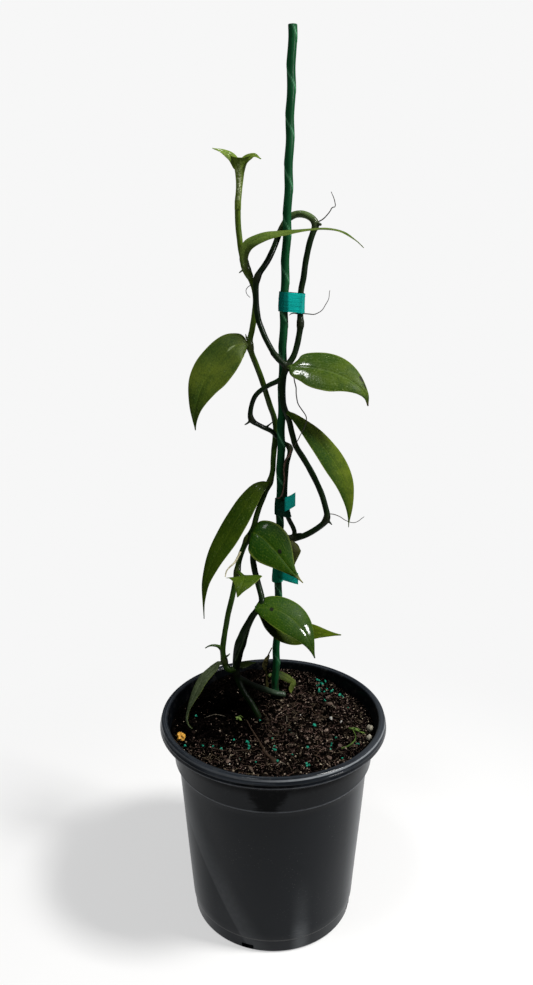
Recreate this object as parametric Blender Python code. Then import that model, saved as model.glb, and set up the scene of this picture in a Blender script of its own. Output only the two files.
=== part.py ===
"""Vanilla orchid tied to a wrapped stake, planted in a plain round nursery pot.

The model is in metres with +Z up. The tables below are in millimetres and MM turns them into
metres. The origin is the middle of the pot's underside, and the plant's face looks along -Y.
"""
import math

import bmesh
import bpy
from mathutils import Matrix, Vector, noise

MM = 0.001
GAP = 0.3                 # clearance between two pieces that touch

# Pot
POT_SIDES = 48
FLOOR_TOP = 2.4           # upper side of the pot's floor
DRAIN_COUNT = 4
DRAIN_SIZE = (6.4, 9.0, 4.2)    # radial, tangential and upright size of a drain slot
DRAIN_RADIUS = 58.8       # distance of a slot's middle from the pot's axis
DRAIN_SILL = 0.9          # the foot is whole below a slot
DRAIN_TURN = -18.0        # degrees from +X to the first slot
# Half of the pot's section as (radius, height): from the middle of the floor up the inside,
# over the turned-down rim and down the outside to the middle of the underside.
POT_SECTION = (
    (0.0, FLOOR_TOP), (57.2, FLOOR_TOP), (58.5, 3.8), (68.3, 126.5), (70.9, 129.0),
    (72.1, 146.6), (75.5, 149.4), (76.4, 158.8), (77.3, 160.0), (80.5, 160.3), (81.2, 159.6),
    (82.5, 153.8), (82.0, 153.2), (80.6, 154.2), (79.6, 158.2), (77.7, 157.9), (76.8, 148.7),
    (73.6, 146.2), (72.3, 129.6), (72.4, 128.4), (71.9, 127.6), (69.7, 126.6),
    (61.3, 11.4), (60.6, 10.8), (59.9, 1.2), (58.7, 0.0), (53.0, 0.0), (51.8, 1.0), (47.2, 1.0),
    (46.0, 0.0), (0.0, 0.0),
)

# Soil
SOIL_LEVEL = 149.6        # height of the surface in the middle of the pot
SOIL_BACK_RISE = 5.2      # the surface climbs towards the back wall
SOIL_RISE_START = 46.0    # the climb begins this far behind the pot's axis
SOIL_RISE_RUN = 24.0
SOIL_BUMP = 1.1           # height of the lumps
SOIL_LUMP = 8.5           # size of the lumps
SOIL_SIDES = 44
SOIL_EDGE = 74.3          # the surface meets the pot's wall at this radius
SOIL_EDGE_LOW = 149.9     # and is nowhere lower than this there
SOIL_RING_STEP = 6.8
SOIL_SIDE = ((56.8, FLOOR_TOP + GAP), (57.9, 4.2), (67.7, 126.9), (70.2, 129.3),
             (71.5, 147.0), (SOIL_EDGE, 149.3))

# Stake
STAKE_RADIUS = 2.85
STAKE_WAVE = 0.3          # the wrapped cover swings this far off the stake's axis
STAKE_PITCH = 29.0        # height of one turn of the cover
STAKE_SIDES = 10
STAKE_STEP = 7.2
STAKE_ROUTE = ((-0.5, 51.0, 6.0), (2.0, 45.5, 151.0), (4.0, 41.5, 240.5), (5.5, 37.5, 357.5),
               (7.0, 33.5, 452.5), (9.0, 31.0, 516.0), (11.0, 27.0, 616.5))

# Stems. Each route lists points on the stem's axis from its lower end to its tip.
STEM_SIDES = 8
STEM_STEP = 6.0
NODE_SWELL = 0.55         # a node is this much thicker in radius than the stem
NODE_REACH = 3.0          # and the swelling fades over this length
YOUNG_RADIUS = (2.1, 1.75)
YOUNG_ROUTE = (
    (-31.6, 12.5, 187.0), (-34.0, 13.2, 188.6), (-35.9, 13.8, 194.0), (-36.9, 14.2, 203.0),
    (-35.5, 14.5, 214.8), (-32.8, 15.0, 230.6), (-29.2, 17.0, 246.0), (-26.0, 21.0, 261.9),
    (-24.0, 25.0, 271.5), (-19.0, 29.0, 283.5), (-14.5, 32.0, 291.5), (-11.5, 34.5, 302.0),
    (-6.0, 38.0, 316.0), (-2.5, 40.5, 323.5), (-0.4, 41.6, 332.0), (0.2, 44.3, 342.5),
    (1.2, 46.2, 353.0), (1.8, 47.3, 360.5), (0.8, 46.3, 369.0), (-3.0, 43.0, 381.0),
    (-8.0, 38.5, 398.0), (-11.9, 36.0, 408.8), (-15.3, 33.5, 418.2), (-16.2, 33.0, 425.0),
    (-14.4, 33.0, 434.0), (-13.1, 33.5, 441.7), (-12.2, 34.0, 450.5), (-12.5, 34.0, 458.1),
    (-14.1, 33.8, 463.5), (-16.8, 33.5, 469.2), (-19.5, 33.0, 475.7), (-21.4, 32.0, 483.3),
    (-22.8, 31.3, 491.2), (-23.8, 30.5, 500.5), (-24.0, 29.5, 508.5), (-24.0, 28.8, 516.0),
)
YOUNG_NODES = ((-36.0, 14.0, 194.5), (-26.0, 21.0, 262.0), (-19.0, 29.0, 283.5),
               (-2.5, 40.5, 323.5), (-16.0, 33.3, 422.0), (-18.3, 33.3, 472.5))

# The old stem goes from the soil through the knee and both loops, back to the stake.
OLD_RADIUS = (2.3, 2.0)
OLD_ROUTE = (
    (-7.5, 10.0, 139.0), (-11.0, 10.5, 150.0), (-15.5, 12.0, 158.5), (-20.5, 13.0, 166.5),
    (-25.0, 14.5, 175.5), (-27.4, 15.0, 184.5), (-26.8, 14.0, 193.0), (-24.8, 13.0, 205.0),
    (-20.8, 11.5, 218.5), (-15.3, 10.0, 231.5), (-10.0, 9.0, 239.5), (-8.2, 9.5, 244.5),
    (-9.5, 14.0, 250.5), (-11.5, 18.0, 256.5), (-14.0, 24.0, 265.0), (-14.5, 28.3, 273.0),
    (-10.0, 31.8, 280.5), (-1.0, 33.0, 284.5), (8.5, 33.8, 283.5), (14.5, 35.0, 282.5),
    (23.0, 33.0, 285.5), (32.5, 31.0, 292.0), (38.3, 30.0, 299.0), (37.5, 30.0, 307.5),
    (34.0, 31.0, 318.5), (28.0, 32.0, 331.5), (21.5, 33.0, 343.0), (15.8, 33.2, 352.0),
    (13.2, 33.0, 361.0), (11.0, 32.4, 370.0), (8.7, 31.0, 376.5), (6.8, 30.2, 382.5),
    (5.8, 29.8, 389.7), (5.9, 29.6, 396.7), (6.9, 29.4, 402.5), (9.0, 29.3, 408.5),
    (13.3, 30.3, 415.3), (15.6, 31.5, 421.8), (17.2, 32.3, 429.6), (18.0, 33.0, 437.3),
    (17.9, 33.5, 443.9), (18.2, 34.0, 458.1), (18.9, 34.0, 465.7), (20.4, 34.0, 479.0),
    (22.9, 33.8, 490.0), (25.8, 34.3, 497.5), (27.5, 35.0, 501.5), (25.5, 36.0, 506.0),
    (19.5, 37.0, 509.5), (14.0, 38.0, 509.5), (9.5, 38.3, 507.0), (6.3, 37.6, 502.2),
    (4.0, 36.3, 496.6), (1.5, 33.7, 490.1), (-1.2, 31.5, 483.8), (-4.1, 29.8, 478.1),
    (-7.4, 28.3, 473.4), (-9.9, 27.8, 469.8), (-11.6, 27.7, 464.7), (-11.9, 28.0, 458.4),
    (-11.7, 28.3, 450.9), (-10.5, 28.5, 441.1), (-8.3, 28.5, 434.5), (-4.9, 28.4, 426.7),
    (0.0, 28.3, 417.8), (2.5, 28.3, 415.0),
)
OLD_THICK_MIDDLE = (-24.0, 12.7, 208.0)   # the stem's old lower length is thickest here
OLD_THICK_GAIN = 1.9
OLD_THICK_REACH = 17.0
CROSSING = (9.0, 29.3, 408.5)             # where both loops meet in front of the stake
LOWER_NODE = (14.5, 35.0, 282.5)
OLD_NODES = ((-27.4, 15.0, 184.5), (-10.0, 9.0, 239.5), LOWER_NODE, (38.3, 30.0, 299.0),
             CROSSING, (27.5, 35.0, 501.0), (-10.8, 27.7, 467.5), (-15.5, 35.0, 371.0),
             (11.6, 39.6, 349.5), (18.0, 33.0, 437.0))
JOIN_RADIUS = 2.2
JOIN_ROUTE = ((-0.6, 28.3, 418.6), (4.5, 28.4, 412.8), CROSSING)
LOOP_RADIUS = (1.75, 1.75)
LOOP_ROUTE = (
    CROSSING, (6.9, 29.2, 403.0), (3.0, 29.5, 399.0), (-3.8, 30.5, 395.4), (-12.1, 32.0, 388.7),
    (-15.6, 34.0, 379.2), (-15.4, 35.0, 370.8), (-8.7, 37.0, 365.7), (-1.0, 39.8, 361.2),
    (1.9, 42.3, 357.2), (6.3, 43.9, 352.5), (11.6, 40.4, 349.6), (11.4, 36.3, 345.5),
    (9.9, 34.2, 340.0), (8.9, 33.4, 331.0), (8.5, 33.0, 320.0), (8.7, 32.8, 309.0),
    (10.8, 33.3, 299.0), (14.3, 34.6, 291.5), (15.6, 35.0, 287.0), LOWER_NODE,
)
CUT_STEM_RADIUS = 2.3
CUT_STEM_ROUTE = ((-26.0, 15.0, 180.0), (-16.0, 22.5, 169.5), (-6.0, 31.0, 160.5),
                  (2.0, 35.5, 154.8), (9.0, 37.0, 152.6))

# Air roots and stubs: (first radius, last radius, route)
OLD_TWIGS = {
    "root_top": (0.75, 0.4, ((27.8, 35.0, 502.0), (33.0, 33.0, 505.0), (36.5, 31.0, 510.0),
                             (37.6, 30.0, 511.6), (39.6, 29.0, 511.8), (39.0, 28.0, 514.5),
                             (37.5, 27.0, 518.5), (36.5, 26.0, 520.8))),
    "root_tie": (0.6, 0.4, ((18.4, 33.3, 438.5), (22.0, 30.0, 441.5), (27.0, 27.0, 443.0),
                            (31.5, 25.0, 447.0), (34.5, 24.0, 452.5), (36.0, 24.0, 459.5))),
    "root_long": (0.6, 0.4, ((10.0, 29.0, 408.0), (12.8, 27.3, 404.5), (14.5, 25.0, 397.5),
                             (15.5, 23.0, 390.9), (16.6, 20.5, 385.0), (22.0, 17.0, 377.1),
                             (21.6, 16.0, 371.0), (18.4, 18.0, 363.2), (15.5, 23.5, 356.4),
                             (14.3, 28.5, 353.4), (15.0, 32.8, 353.2))),
    "root_right": (0.6, 0.4, ((37.7, 30.0, 303.0), (44.0, 26.0, 303.5), (51.0, 23.0, 300.5),
                              (55.5, 21.0, 299.5), (59.0, 20.0, 300.2), (64.0, 19.0, 304.5))),
    "stub_right": (1.4, 0.6, ((38.0, 30.0, 299.5), (40.0, 29.0, 297.5), (42.0, 28.0, 295.5))),
    "stub_top": (1.5, 1.0, ((27.0, 35.0, 501.5), (29.3, 33.0, 501.3), (30.5, 32.0, 500.8))),
    "stub_left": (1.2, 0.6, ((-15.5, 35.2, 371.0), (-17.5, 33.5, 369.0), (-20.0, 32.5, 367.6))),
    "stub_loop": (0.8, 0.5, ((-5.3, 38.2, 364.2), (-3.0, 37.0, 366.5), (-0.5, 36.5, 368.8))),
    "stub_tie": (0.8, 0.4, ((17.8, 33.2, 438.5), (15.0, 31.0, 440.8), (12.2, 30.0, 440.0))),
    "bud_low": (1.3, 0.6, ((15.5, 35.0, 284.0), (18.5, 32.0, 287.0), (20.5, 30.5, 287.8))),
}
YOUNG_TWIGS = {
    "thorn_long": (1.7, 0.35, ((-36.8, 14.6, 201.5), (-39.7, 13.0, 206.0), (-43.0, 11.0, 208.3),
                               (-46.5, 9.5, 208.6), (-49.5, 8.5, 207.3))),
    "thorn_low": (1.3, 0.4, ((-36.4, 14.0, 196.5), (-33.5, 11.5, 199.5), (-31.5, 10.3, 202.0))),
    "stub_high": (1.2, 0.5, ((-18.3, 33.3, 472.5), (-20.8, 31.5, 471.9), (-23.0, 30.5, 470.3))),
    "stub_leaf": (1.2, 0.5, ((-16.0, 33.0, 424.0), (-18.3, 31.0, 427.6), (-19.0, 30.3, 430.5))),
    "root_curl": (0.5, 0.4, ((-13.8, 33.8, 463.0), (-16.5, 31.0, 461.8), (-18.3, 30.0, 459.5),
                             (-18.0, 30.0, 456.8), (-16.0, 30.8, 455.0))),
}
PALE_ROOT = (1.1, 0.5, ((-23.8, 23.0, 276.0), (-25.5, 21.0, 273.0), (-27.5, 19.0, 270.0),
                        (-31.0, 17.0, 267.3), (-33.5, 15.5, 264.5), (-34.3, 14.0, 261.0)))
PINK_ROOT = (0.9, 0.7, ((12.3, 30.6, 349.8), (11.2, 29.8, 346.5), (8.7, 29.6, 343.0),
                        (7.5, 29.7, 336.0), (7.9, 29.7, 328.6), (7.0, 29.9, 320.5),
                        (5.6, 31.0, 315.6), (3.2, 33.0, 313.6)))
DRY_TWIG = (2.5, 0.5, ((-5.5, 50.0, 141.0), (-5.5, 50.0, 156.0), (-5.8, 50.0, 167.0),
                       (-5.2, 49.5, 176.5), (-3.6, 49.0, 183.0), (-1.8, 48.0, 191.0)))

# Ties: a loop of flat tape round the stake and, where it holds one, a stem.
TAPE = 0.6                # thickness of the tape
TIE_LEVELS = 4
# name: (lower edge, upper edge, slope to the right, route that it holds or None, stem radius)
TIES = {
    "tie_upper": (445.2, 458.0, -0.09, OLD_ROUTE, 2.15),
    "tie_middle": (299.8, 311.8, 0.0, LOOP_ROUTE, 1.85),
    "tie_lower": (246.5, 260.5, 0.0, None, 0.0),
}
LOOSE_TIE_SHIFT = (-1.1, -0.3)    # the lowest loop hangs a little off the stake
# name: loose end of the tape as its two ends, each (x, y, lower height, upper height)
TIE_TAILS = {
    "tie_middle": ((8.2, 30.3, 304.6, 312.6), (16.4, 27.6, 309.2, 318.6)),
    "tie_lower": ((4.9, 37.0, 251.0, 260.0), (18.6, 32.5, 247.8, 256.0)),
}

# Leaves. Each blade follows a midrib, and `face` is where its upper side looks at the base
# and at the tip. `seat` is the point on the stem's axis that the base grows from, with the
# stem's radius there.
LEAF_THICK = 1.0
LEAF_ALONG = 13
LEAF_ACROSS = (-1.0, -0.55, 0.0, 0.55, 1.0)
LEAF_FOLD = 0.20          # both halves rise from the midrib by this slope
LEAF_CUP = 0.22           # and their edges bend back down
LEAF_BASE = 1.5           # half width where the blade leaves the stem
LEAF_TIP = 0.45           # half width at the very tip
LEAF_POINT = 1.3          # how sharply a blade narrows to its tip
LEAVES = {
    "leaf_upper_left": dict(
        seat=(-16.0, 33.3, 422.0), stem=2.3, half=13.3, widest=0.4, power=0.65,
        face=((-0.25, -0.85, 0.45), (-0.25, -0.9, 0.3)),
        midrib=((-21.0, 30.0, 424.0), (-28.3, 26.7, 421.8), (-37.5, 23.5, 412.0),
                (-46.0, 20.3, 400.7), (-50.0, 18.0, 392.0), (-52.6, 16.5, 382.8),
                (-53.3, 16.0, 374.5), (-53.2, 16.0, 367.5))),
    "leaf_upper_right": dict(
        seat=CROSSING, stem=2.9, half=14.5, widest=0.42,
        face=((0.1, -0.75, 0.65), (0.2, -0.75, 0.6)),
        midrib=((14.5, 24.5, 408.7), (21.0, 22.8, 409.2), (28.5, 21.0, 408.3), (37.5, 19.0, 406.7),
                (47.5, 16.5, 403.3), (56.0, 13.5, 398.0), (61.5, 12.0, 391.5),
                (63.0, 12.0, 385.0))),
    "leaf_right": dict(
        seat=(8.6, 31.0, 377.0), stem=2.1, half=9.0, widest=0.52, power=0.9,
        face=((0.45, -0.8, 0.4), (0.6, -0.75, 0.3)),
        midrib=((13.5, 27.5, 375.0), (20.3, 24.5, 369.6), (28.5, 21.5, 361.5), (38.1, 18.0, 350.0),
                (45.8, 15.5, 338.4), (49.9, 14.0, 329.4), (52.0, 13.0, 320.2),
                (52.9, 12.0, 310.9), (52.5, 12.0, 299.2))),
    "leaf_left": dict(
        seat=(-2.5, 40.5, 323.5), stem=2.6, half=8.5, widest=0.42, power=0.8,
        face=((-0.35, -0.85, 0.4), (-0.6, -0.75, 0.3)),
        midrib=((-6.5, 36.0, 323.0), (-11.0, 33.0, 321.0), (-16.0, 30.7, 315.4),
                (-24.1, 27.5, 302.9), (-32.3, 25.5, 289.1), (-40.9, 23.0, 274.5),
                (-46.3, 21.0, 262.6), (-49.4, 19.0, 252.4), (-50.5, 18.0, 240.2),
                (-50.5, 18.0, 226.3))),
    "leaf_centre": dict(
        seat=(-17.0, 30.5, 288.0), stem=2.3, half=14.0, widest=0.36,
        face=((-0.1, -0.8, 0.6), (0.0, -0.85, 0.5)),
        midrib=((-13.0, 25.0, 290.0), (-8.0, 21.5, 288.0), (-1.0, 18.0, 282.5), (6.0, 15.0, 275.5),
                (13.0, 12.0, 267.5), (21.0, 10.0, 258.0))),
    "leaf_behind_centre": dict(
        seat=(14.5, 35.0, 282.5), stem=2.2, half=6.0, widest=0.45,
        face=((0.4, -0.8, 0.2), (0.4, -0.85, 0.2)),
        midrib=((13.2, 29.2, 276.0), (13.5, 27.6, 268.0), (14.5, 26.6, 260.0))),
    "leaf_forward": dict(
        seat=(-26.0, 21.0, 262.0), stem=2.5, half=13.0, widest=0.5,
        face=((0.0, -0.25, 1.0), (0.0, -0.45, 0.9)),
        midrib=((-22.6, 14.0, 262.4), (-20.9, 8.0, 263.6), (-20.3, 2.0, 264.6), (-21.3, -3.0, 263.4),
                (-23.0, -7.0, 260.7), (-24.5, -10.0, 256.7))),
    "leaf_low_right": dict(
        seat=(-10.0, 9.0, 239.5), stem=2.6, half=11.3, widest=0.4,
        face=((0.05, -0.7, 0.7), (0.1, -0.8, 0.6)),
        midrib=((-2.5, 6.0, 240.3), (5.0, 3.0, 238.8), (13.0, 0.5, 234.5), (20.3, -2.0, 227.5),
                (25.8, -4.0, 217.6), (29.5, -5.0, 206.5))),
    "leaf_low_behind": dict(
        seat=(-11.3, 9.3, 237.0), stem=2.9, half=9.5, widest=0.45,
        face=((0.1, -0.5, 0.85), (0.1, -0.6, 0.8)),
        midrib=((-3.5, 14.5, 225.5), (7.0, 17.0, 218.0), (17.5, 17.0, 215.0),
                (28.5, 15.0, 217.0), (38.5, 12.0, 217.5), (49.0, 9.0, 217.5))),
    "leaf_bottom_left": dict(
        seat=(-35.5, 13.7, 192.5), stem=2.6, half=4.6, widest=0.4,
        face=((-0.4, -0.6, 0.7), (-0.3, -0.8, 0.4)),
        midrib=((-42.5, 10.0, 191.0), (-48.8, 7.0, 186.0), (-54.4, 4.0, 177.6),
                (-57.6, 1.0, 169.6), (-60.0, -2.0, 160.5), (-61.0, -5.0, 154.8),
                (-57.6, -8.0, 151.8))),
    "bract_base": dict(
        seat=(-27.0, 14.5, 188.5), stem=2.5, half=2.0, widest=0.35,
        face=((0.0, -0.5, 0.85), (0.0, -0.5, 0.85)),
        midrib=((-18.5, 19.5, 189.0), (-13.0, 22.0, 188.5))),
    "leaf_arching": dict(
        seat=(-18.3, 33.3, 472.5), stem=2.5, half=4.8, widest=0.48, power=1.0,
        face=((0.2, -0.95, 0.3), (0.1, -0.25, 0.97), (0.05, -0.12, 1.0)),
        midrib=((-19.2, 27.5, 473.6), (-19.5, 27.0, 477.3), (-19.6, 26.8, 481.0), (-18.8, 26.4, 485.0),
                (-16.3, 26.0, 488.6), (-11.1, 25.2, 491.4), (-4.5, 24.3, 493.8),
                (1.9, 23.0, 495.1), (10.4, 21.0, 496.4), (20.9, 17.5, 497.5),
                (32.6, 11.5, 498.0), (42.8, 5.0, 496.1), (49.9, 0.0, 491.6),
                (54.8, -5.0, 486.9))),
}
WITHERED = dict(
    seat=(2.5, 50.3, 163.4), stem=0.6, half=2.6, widest=0.4,
    face=((0.1, -0.5, 0.85), (0.4, -0.6, 0.3)),
    midrib=((10.5, 52.0, 162.0), (16.0, 50.5, 158.5), (17.2, 47.5, 155.0), (14.8, 44.5, 152.2),
            (13.5, 41.5, 150.8)))
# The two youngest leaves hold each other at the base, and open to the left and right.
YOUNGEST = (
    dict(seat=(-24.2, 28.3, 515.0), stem=1.2, half=3.7, widest=0.6, power=1.5,
         face=((0.4, -0.9, 0.1), (0.2, -0.4, 0.9)),
         midrib=((-23.8, 28.0, 524.3), (-23.9, 27.0, 530.2), (-24.6, 26.0, 535.0),
                 (-26.4, 25.0, 539.1), (-30.0, 23.5, 542.0), (-34.5, 21.5, 543.9),
                 (-38.2, 20.0, 544.9))),
    dict(seat=(-23.6, 29.0, 515.0), stem=1.2, half=3.4, widest=0.6, power=1.5,
         face=((-0.5, -0.85, 0.1), (-0.1, -0.5, 0.9)),
         midrib=((-23.1, 28.6, 524.3), (-22.4, 28.3, 530.3), (-21.2, 27.8, 535.1),
                 (-19.2, 26.5, 538.5), (-15.9, 25.0, 541.0), (-12.1, 24.0, 541.6),
                 (-8.3, 22.5, 539.5))),
)
BUD_RADIUS = (1.65, 0.8)
BUD_ROUTE = ((-24.0, 28.7, 516.7), (-23.7, 28.2, 523.0), (-23.4, 27.6, 531.0))


def clear_scene():
    """Remove whatever the scene holds."""
    for obj in list(bpy.data.objects):
        bpy.data.objects.remove(obj, do_unlink=True)


def make_material(name, colour, roughness):
    """A Principled material for a part that isn't metal."""
    mat = bpy.data.materials.new(name)
    mat.use_nodes = True
    shader = mat.node_tree.nodes["Principled BSDF"]
    shader.inputs["Base Color"].default_value = (*colour, 1.0)
    shader.inputs["Roughness"].default_value = roughness
    shader.inputs["Metallic"].default_value = 0.0
    mat.diffuse_color = (*colour, 1.0)
    return mat


def add_object(name, data, mat=None):
    """Link new data as an object, with its material."""
    obj = bpy.data.objects.new(name, data)
    bpy.context.scene.collection.objects.link(obj)
    if mat is not None:
        data.materials.append(mat)
    return obj


def shade(mesh, degrees=38.0):
    """Smooth shading with sharp edges kept."""
    mesh.shade_smooth()
    mesh.set_sharp_from_angle(angle=math.radians(degrees))


def from_bmesh(name, bm, mat=None):
    """Turn a bmesh in millimetres into an object in metres."""
    bmesh.ops.scale(bm, vec=(MM, MM, MM), verts=bm.verts)
    bmesh.ops.recalc_face_normals(bm, faces=bm.faces)
    mesh = bpy.data.meshes.new(name)
    bm.to_mesh(mesh)
    bm.free()
    obj = add_object(name, mesh, mat)
    shade(mesh)
    return obj


def evaluated(obj):
    """Replace an object's data by the mesh that its modifiers or its curve give."""
    depsgraph = bpy.context.evaluated_depsgraph_get()
    mesh = bpy.data.meshes.new_from_object(obj.evaluated_get(depsgraph))
    name = obj.name
    old_materials = list(obj.data.materials)
    bpy.data.objects.remove(obj, do_unlink=True)
    mesh.materials.clear()
    new = add_object(name, mesh)
    for mat in old_materials:
        mesh.materials.append(mat)
    return new


def boolean(obj, others, operation, solver="EXACT"):
    """Join or cut an object by a collection of others, and remove these."""
    group = bpy.data.collections.new("operands")
    for other in others:
        group.objects.link(other)
    mod = obj.modifiers.new(operation.lower(), "BOOLEAN")
    mod.operation = operation
    mod.operand_type = "COLLECTION"
    mod.collection = group
    mod.solver = solver
    result = evaluated(obj)
    for other in others:
        bpy.data.objects.remove(other, do_unlink=True)
    bpy.data.collections.remove(group)
    return result


def smooth_route(points, step):
    """Points about `step` apart on a smooth curve through the given ones."""
    pts = [Vector(p) for p in points]
    pts = [pts[0] * 2 - pts[1]] + pts + [pts[-1] * 2 - pts[-2]]
    fine = []
    for a, b, c, d in zip(pts, pts[1:], pts[2:], pts[3:]):
        # the Catmull-Rom curve as a Bezier piece
        reach = (c - b).length
        left = b + (c - a).normalized() * reach / 3
        right = c - (d - b).normalized() * reach / 3
        for i in range(12):
            t = i / 12
            s = 1 - t
            fine.append(b * s ** 3 + left * 3 * s * s * t + right * 3 * s * t * t + c * t ** 3)
    fine.append(pts[-2])
    lengths = [0.0]
    for a, b in zip(fine, fine[1:]):
        lengths.append(lengths[-1] + (b - a).length)
    count = max(2, round(lengths[-1] / step))
    result = []
    k = 0
    for i in range(count + 1):
        goal = lengths[-1] * i / count
        while k < len(fine) - 2 and lengths[k + 1] < goal:
            k += 1
        part = (goal - lengths[k]) / (lengths[k + 1] - lengths[k])
        result.append(fine[k].lerp(fine[k + 1], min(max(part, 0.0), 1.0)))
    return result


def point_at_height(points, height):
    """The first point of a route at a height, measured from its last point down."""
    for b, a in zip(reversed(points), list(reversed(points))[1:]):
        if min(a.z, b.z) <= height <= max(a.z, b.z) and abs(a.z - b.z) > 1e-6:
            return a.lerp(b, (height - a.z) / (b.z - a.z))
    raise ValueError("no point at this height")


def tube(name, route, radii, sides, mat=None):
    """A closed tube along a route, with a radius at each point."""
    curve = bpy.data.curves.new(name, "CURVE")
    curve.dimensions = "3D"
    curve.bevel_depth = MM
    curve.bevel_resolution = sides // 2 - 2
    curve.use_fill_caps = True
    spline = curve.splines.new("POLY")
    spline.points.add(len(route) - 1)
    for point, place, radius in zip(spline.points, route, radii):
        point.co = (*(place * MM), 1.0)
        point.radius = radius
    if mat is not None:
        curve.materials.append(mat)
    obj = evaluated(add_object(name, curve))
    bm = bmesh.new()
    bm.from_mesh(obj.data)
    bmesh.ops.remove_doubles(bm, verts=bm.verts, dist=0.00001)
    bmesh.ops.recalc_face_normals(bm, faces=bm.faces)
    bm.to_mesh(obj.data)
    bm.free()
    shade(obj.data)
    return obj


def taper(route, first, last):
    """Radii that go evenly from the first to the last."""
    steps = len(route) - 1
    return [first + (last - first) * i / steps for i in range(steps + 1)]


def stem_radii(route, ends, nodes):
    """A stem's radii, thicker at its nodes."""
    radii = []
    for place, radius in zip(route, taper(route, *ends)):
        for node in nodes:
            off = (place - Vector(node)).length / NODE_REACH
            radius += NODE_SWELL * math.exp(-off * off)
        radii.append(radius)
    return radii


def twigs(table):
    """Thin tubes for roots and stubs."""
    made = []
    for name, (first, last, points) in table.items():
        route = smooth_route(points, 3.4)
        made.append(tube(name, route, taper(route, first, last), 6))
    return made


def make_pot(mat):
    """The pot is one turned wall with drain slots round the foot."""
    bm = bmesh.new()
    verts = [bm.verts.new((r * MM, 0.0, z * MM)) for r, z in POT_SECTION]
    for a, b in zip(verts, verts[1:]):
        bm.edges.new((a, b))
    mesh = bpy.data.meshes.new("pot")
    bm.to_mesh(mesh)
    bm.free()
    pot = add_object("pot", mesh, mat)
    screw = pot.modifiers.new("turn", "SCREW")
    screw.steps = POT_SIDES
    screw.render_steps = POT_SIDES
    screw.use_merge_vertices = True
    screw.merge_threshold = 0.00001
    slots = []
    for i in range(DRAIN_COUNT):
        turn = math.radians(DRAIN_TURN + 360.0 * i / DRAIN_COUNT)
        bm = bmesh.new()
        bmesh.ops.create_cube(bm, size=1.0)
        bmesh.ops.scale(bm, vec=DRAIN_SIZE, verts=bm.verts)
        bmesh.ops.translate(bm, vec=(DRAIN_RADIUS, 0.0, DRAIN_SILL + DRAIN_SIZE[2] / 2), verts=bm.verts)
        bmesh.ops.rotate(bm, cent=(0, 0, 0), matrix=Matrix.Rotation(turn, 3, "Z"), verts=bm.verts)
        slots.append(from_bmesh("slot", bm))
    pot = boolean(evaluated(pot), slots, "DIFFERENCE")
    shade(pot.data, 30.0)
    return pot


def soil_top(x, y):
    """Height of the soil's surface."""
    climb = min(max((y - SOIL_RISE_START) / SOIL_RISE_RUN, 0.0), 1.0)
    climb = climb * climb * (3 - 2 * climb)
    lumps = noise.noise(Vector((x / SOIL_LUMP, y / SOIL_LUMP, 0.7)))
    fine = noise.noise(Vector((x / 3.7, y / 3.7, 4.1)))
    top = SOIL_LEVEL + SOIL_BACK_RISE * climb + SOIL_BUMP * (lumps + 0.45 * fine)
    return max(top, SOIL_EDGE_LOW) if math.hypot(x, y) > SOIL_EDGE - 1 else top


def make_soil(mat, cutters):
    """The filled body of soil, lumpy on top, with a plain hole for each stem."""
    bm = bmesh.new()
    rings = []

    def ring(radius, height=None):
        row = []
        for i in range(SOIL_SIDES):
            turn = 2 * math.pi * i / SOIL_SIDES
            x, y = radius * math.cos(turn), radius * math.sin(turn)
            row.append(bm.verts.new((x, y, soil_top(x, y) if height is None else height)))
        rings.append(row)

    for radius, height in SOIL_SIDE:
        ring(radius, height)
    radius = SOIL_EDGE
    ring(radius)
    while radius > 1.6 * SOIL_RING_STEP:
        radius -= SOIL_RING_STEP
        ring(radius)
    for lower, upper in zip(rings, rings[1:]):
        for i in range(SOIL_SIDES):
            j = (i + 1) % SOIL_SIDES
            bm.faces.new((lower[i], lower[j], upper[j], upper[i]))
    bm.faces.new(list(reversed(rings[0])))
    middle = bm.verts.new((0.0, 0.0, soil_top(0.0, 0.0)))
    for i in range(SOIL_SIDES):
        bm.faces.new((rings[-1][i], rings[-1][(i + 1) % SOIL_SIDES], middle))
    soil = from_bmesh("soil", bm, mat)
    return boolean(soil, cutters, "DIFFERENCE")


def cover_swing(height):
    """How far the stake's wrapped cover is off its axis at a height."""
    turn = 2 * math.pi * height / STAKE_PITCH
    return Vector((math.cos(turn), math.sin(turn), 0.0)) * STAKE_WAVE


def make_stake(mat, name="stake", extra=0.0, route=None):
    """The stake, whose wrapped cover swings round its axis; `extra` widens it for a cutter."""
    axis = smooth_route(route or STAKE_ROUTE, STAKE_STEP)
    bm = bmesh.new()
    rings = []
    for place in axis:
        swing = cover_swing(place.z)
        radius = STAKE_RADIUS + extra
        row = []
        for i in range(STAKE_SIDES):
            side = 2 * math.pi * i / STAKE_SIDES
            edge = Vector((math.cos(side), math.sin(side), 0.0)) * radius
            row.append(bm.verts.new(place + edge + (swing if extra == 0.0 else Vector())))
        rings.append(row)
    for lower, upper in zip(rings, rings[1:]):
        for i in range(STAKE_SIDES):
            j = (i + 1) % STAKE_SIDES
            bm.faces.new((lower[i], lower[j], upper[j], upper[i]))
    bm.faces.new(list(reversed(rings[0])))
    bm.faces.new(rings[-1])
    return from_bmesh(name, bm, mat)


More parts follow.
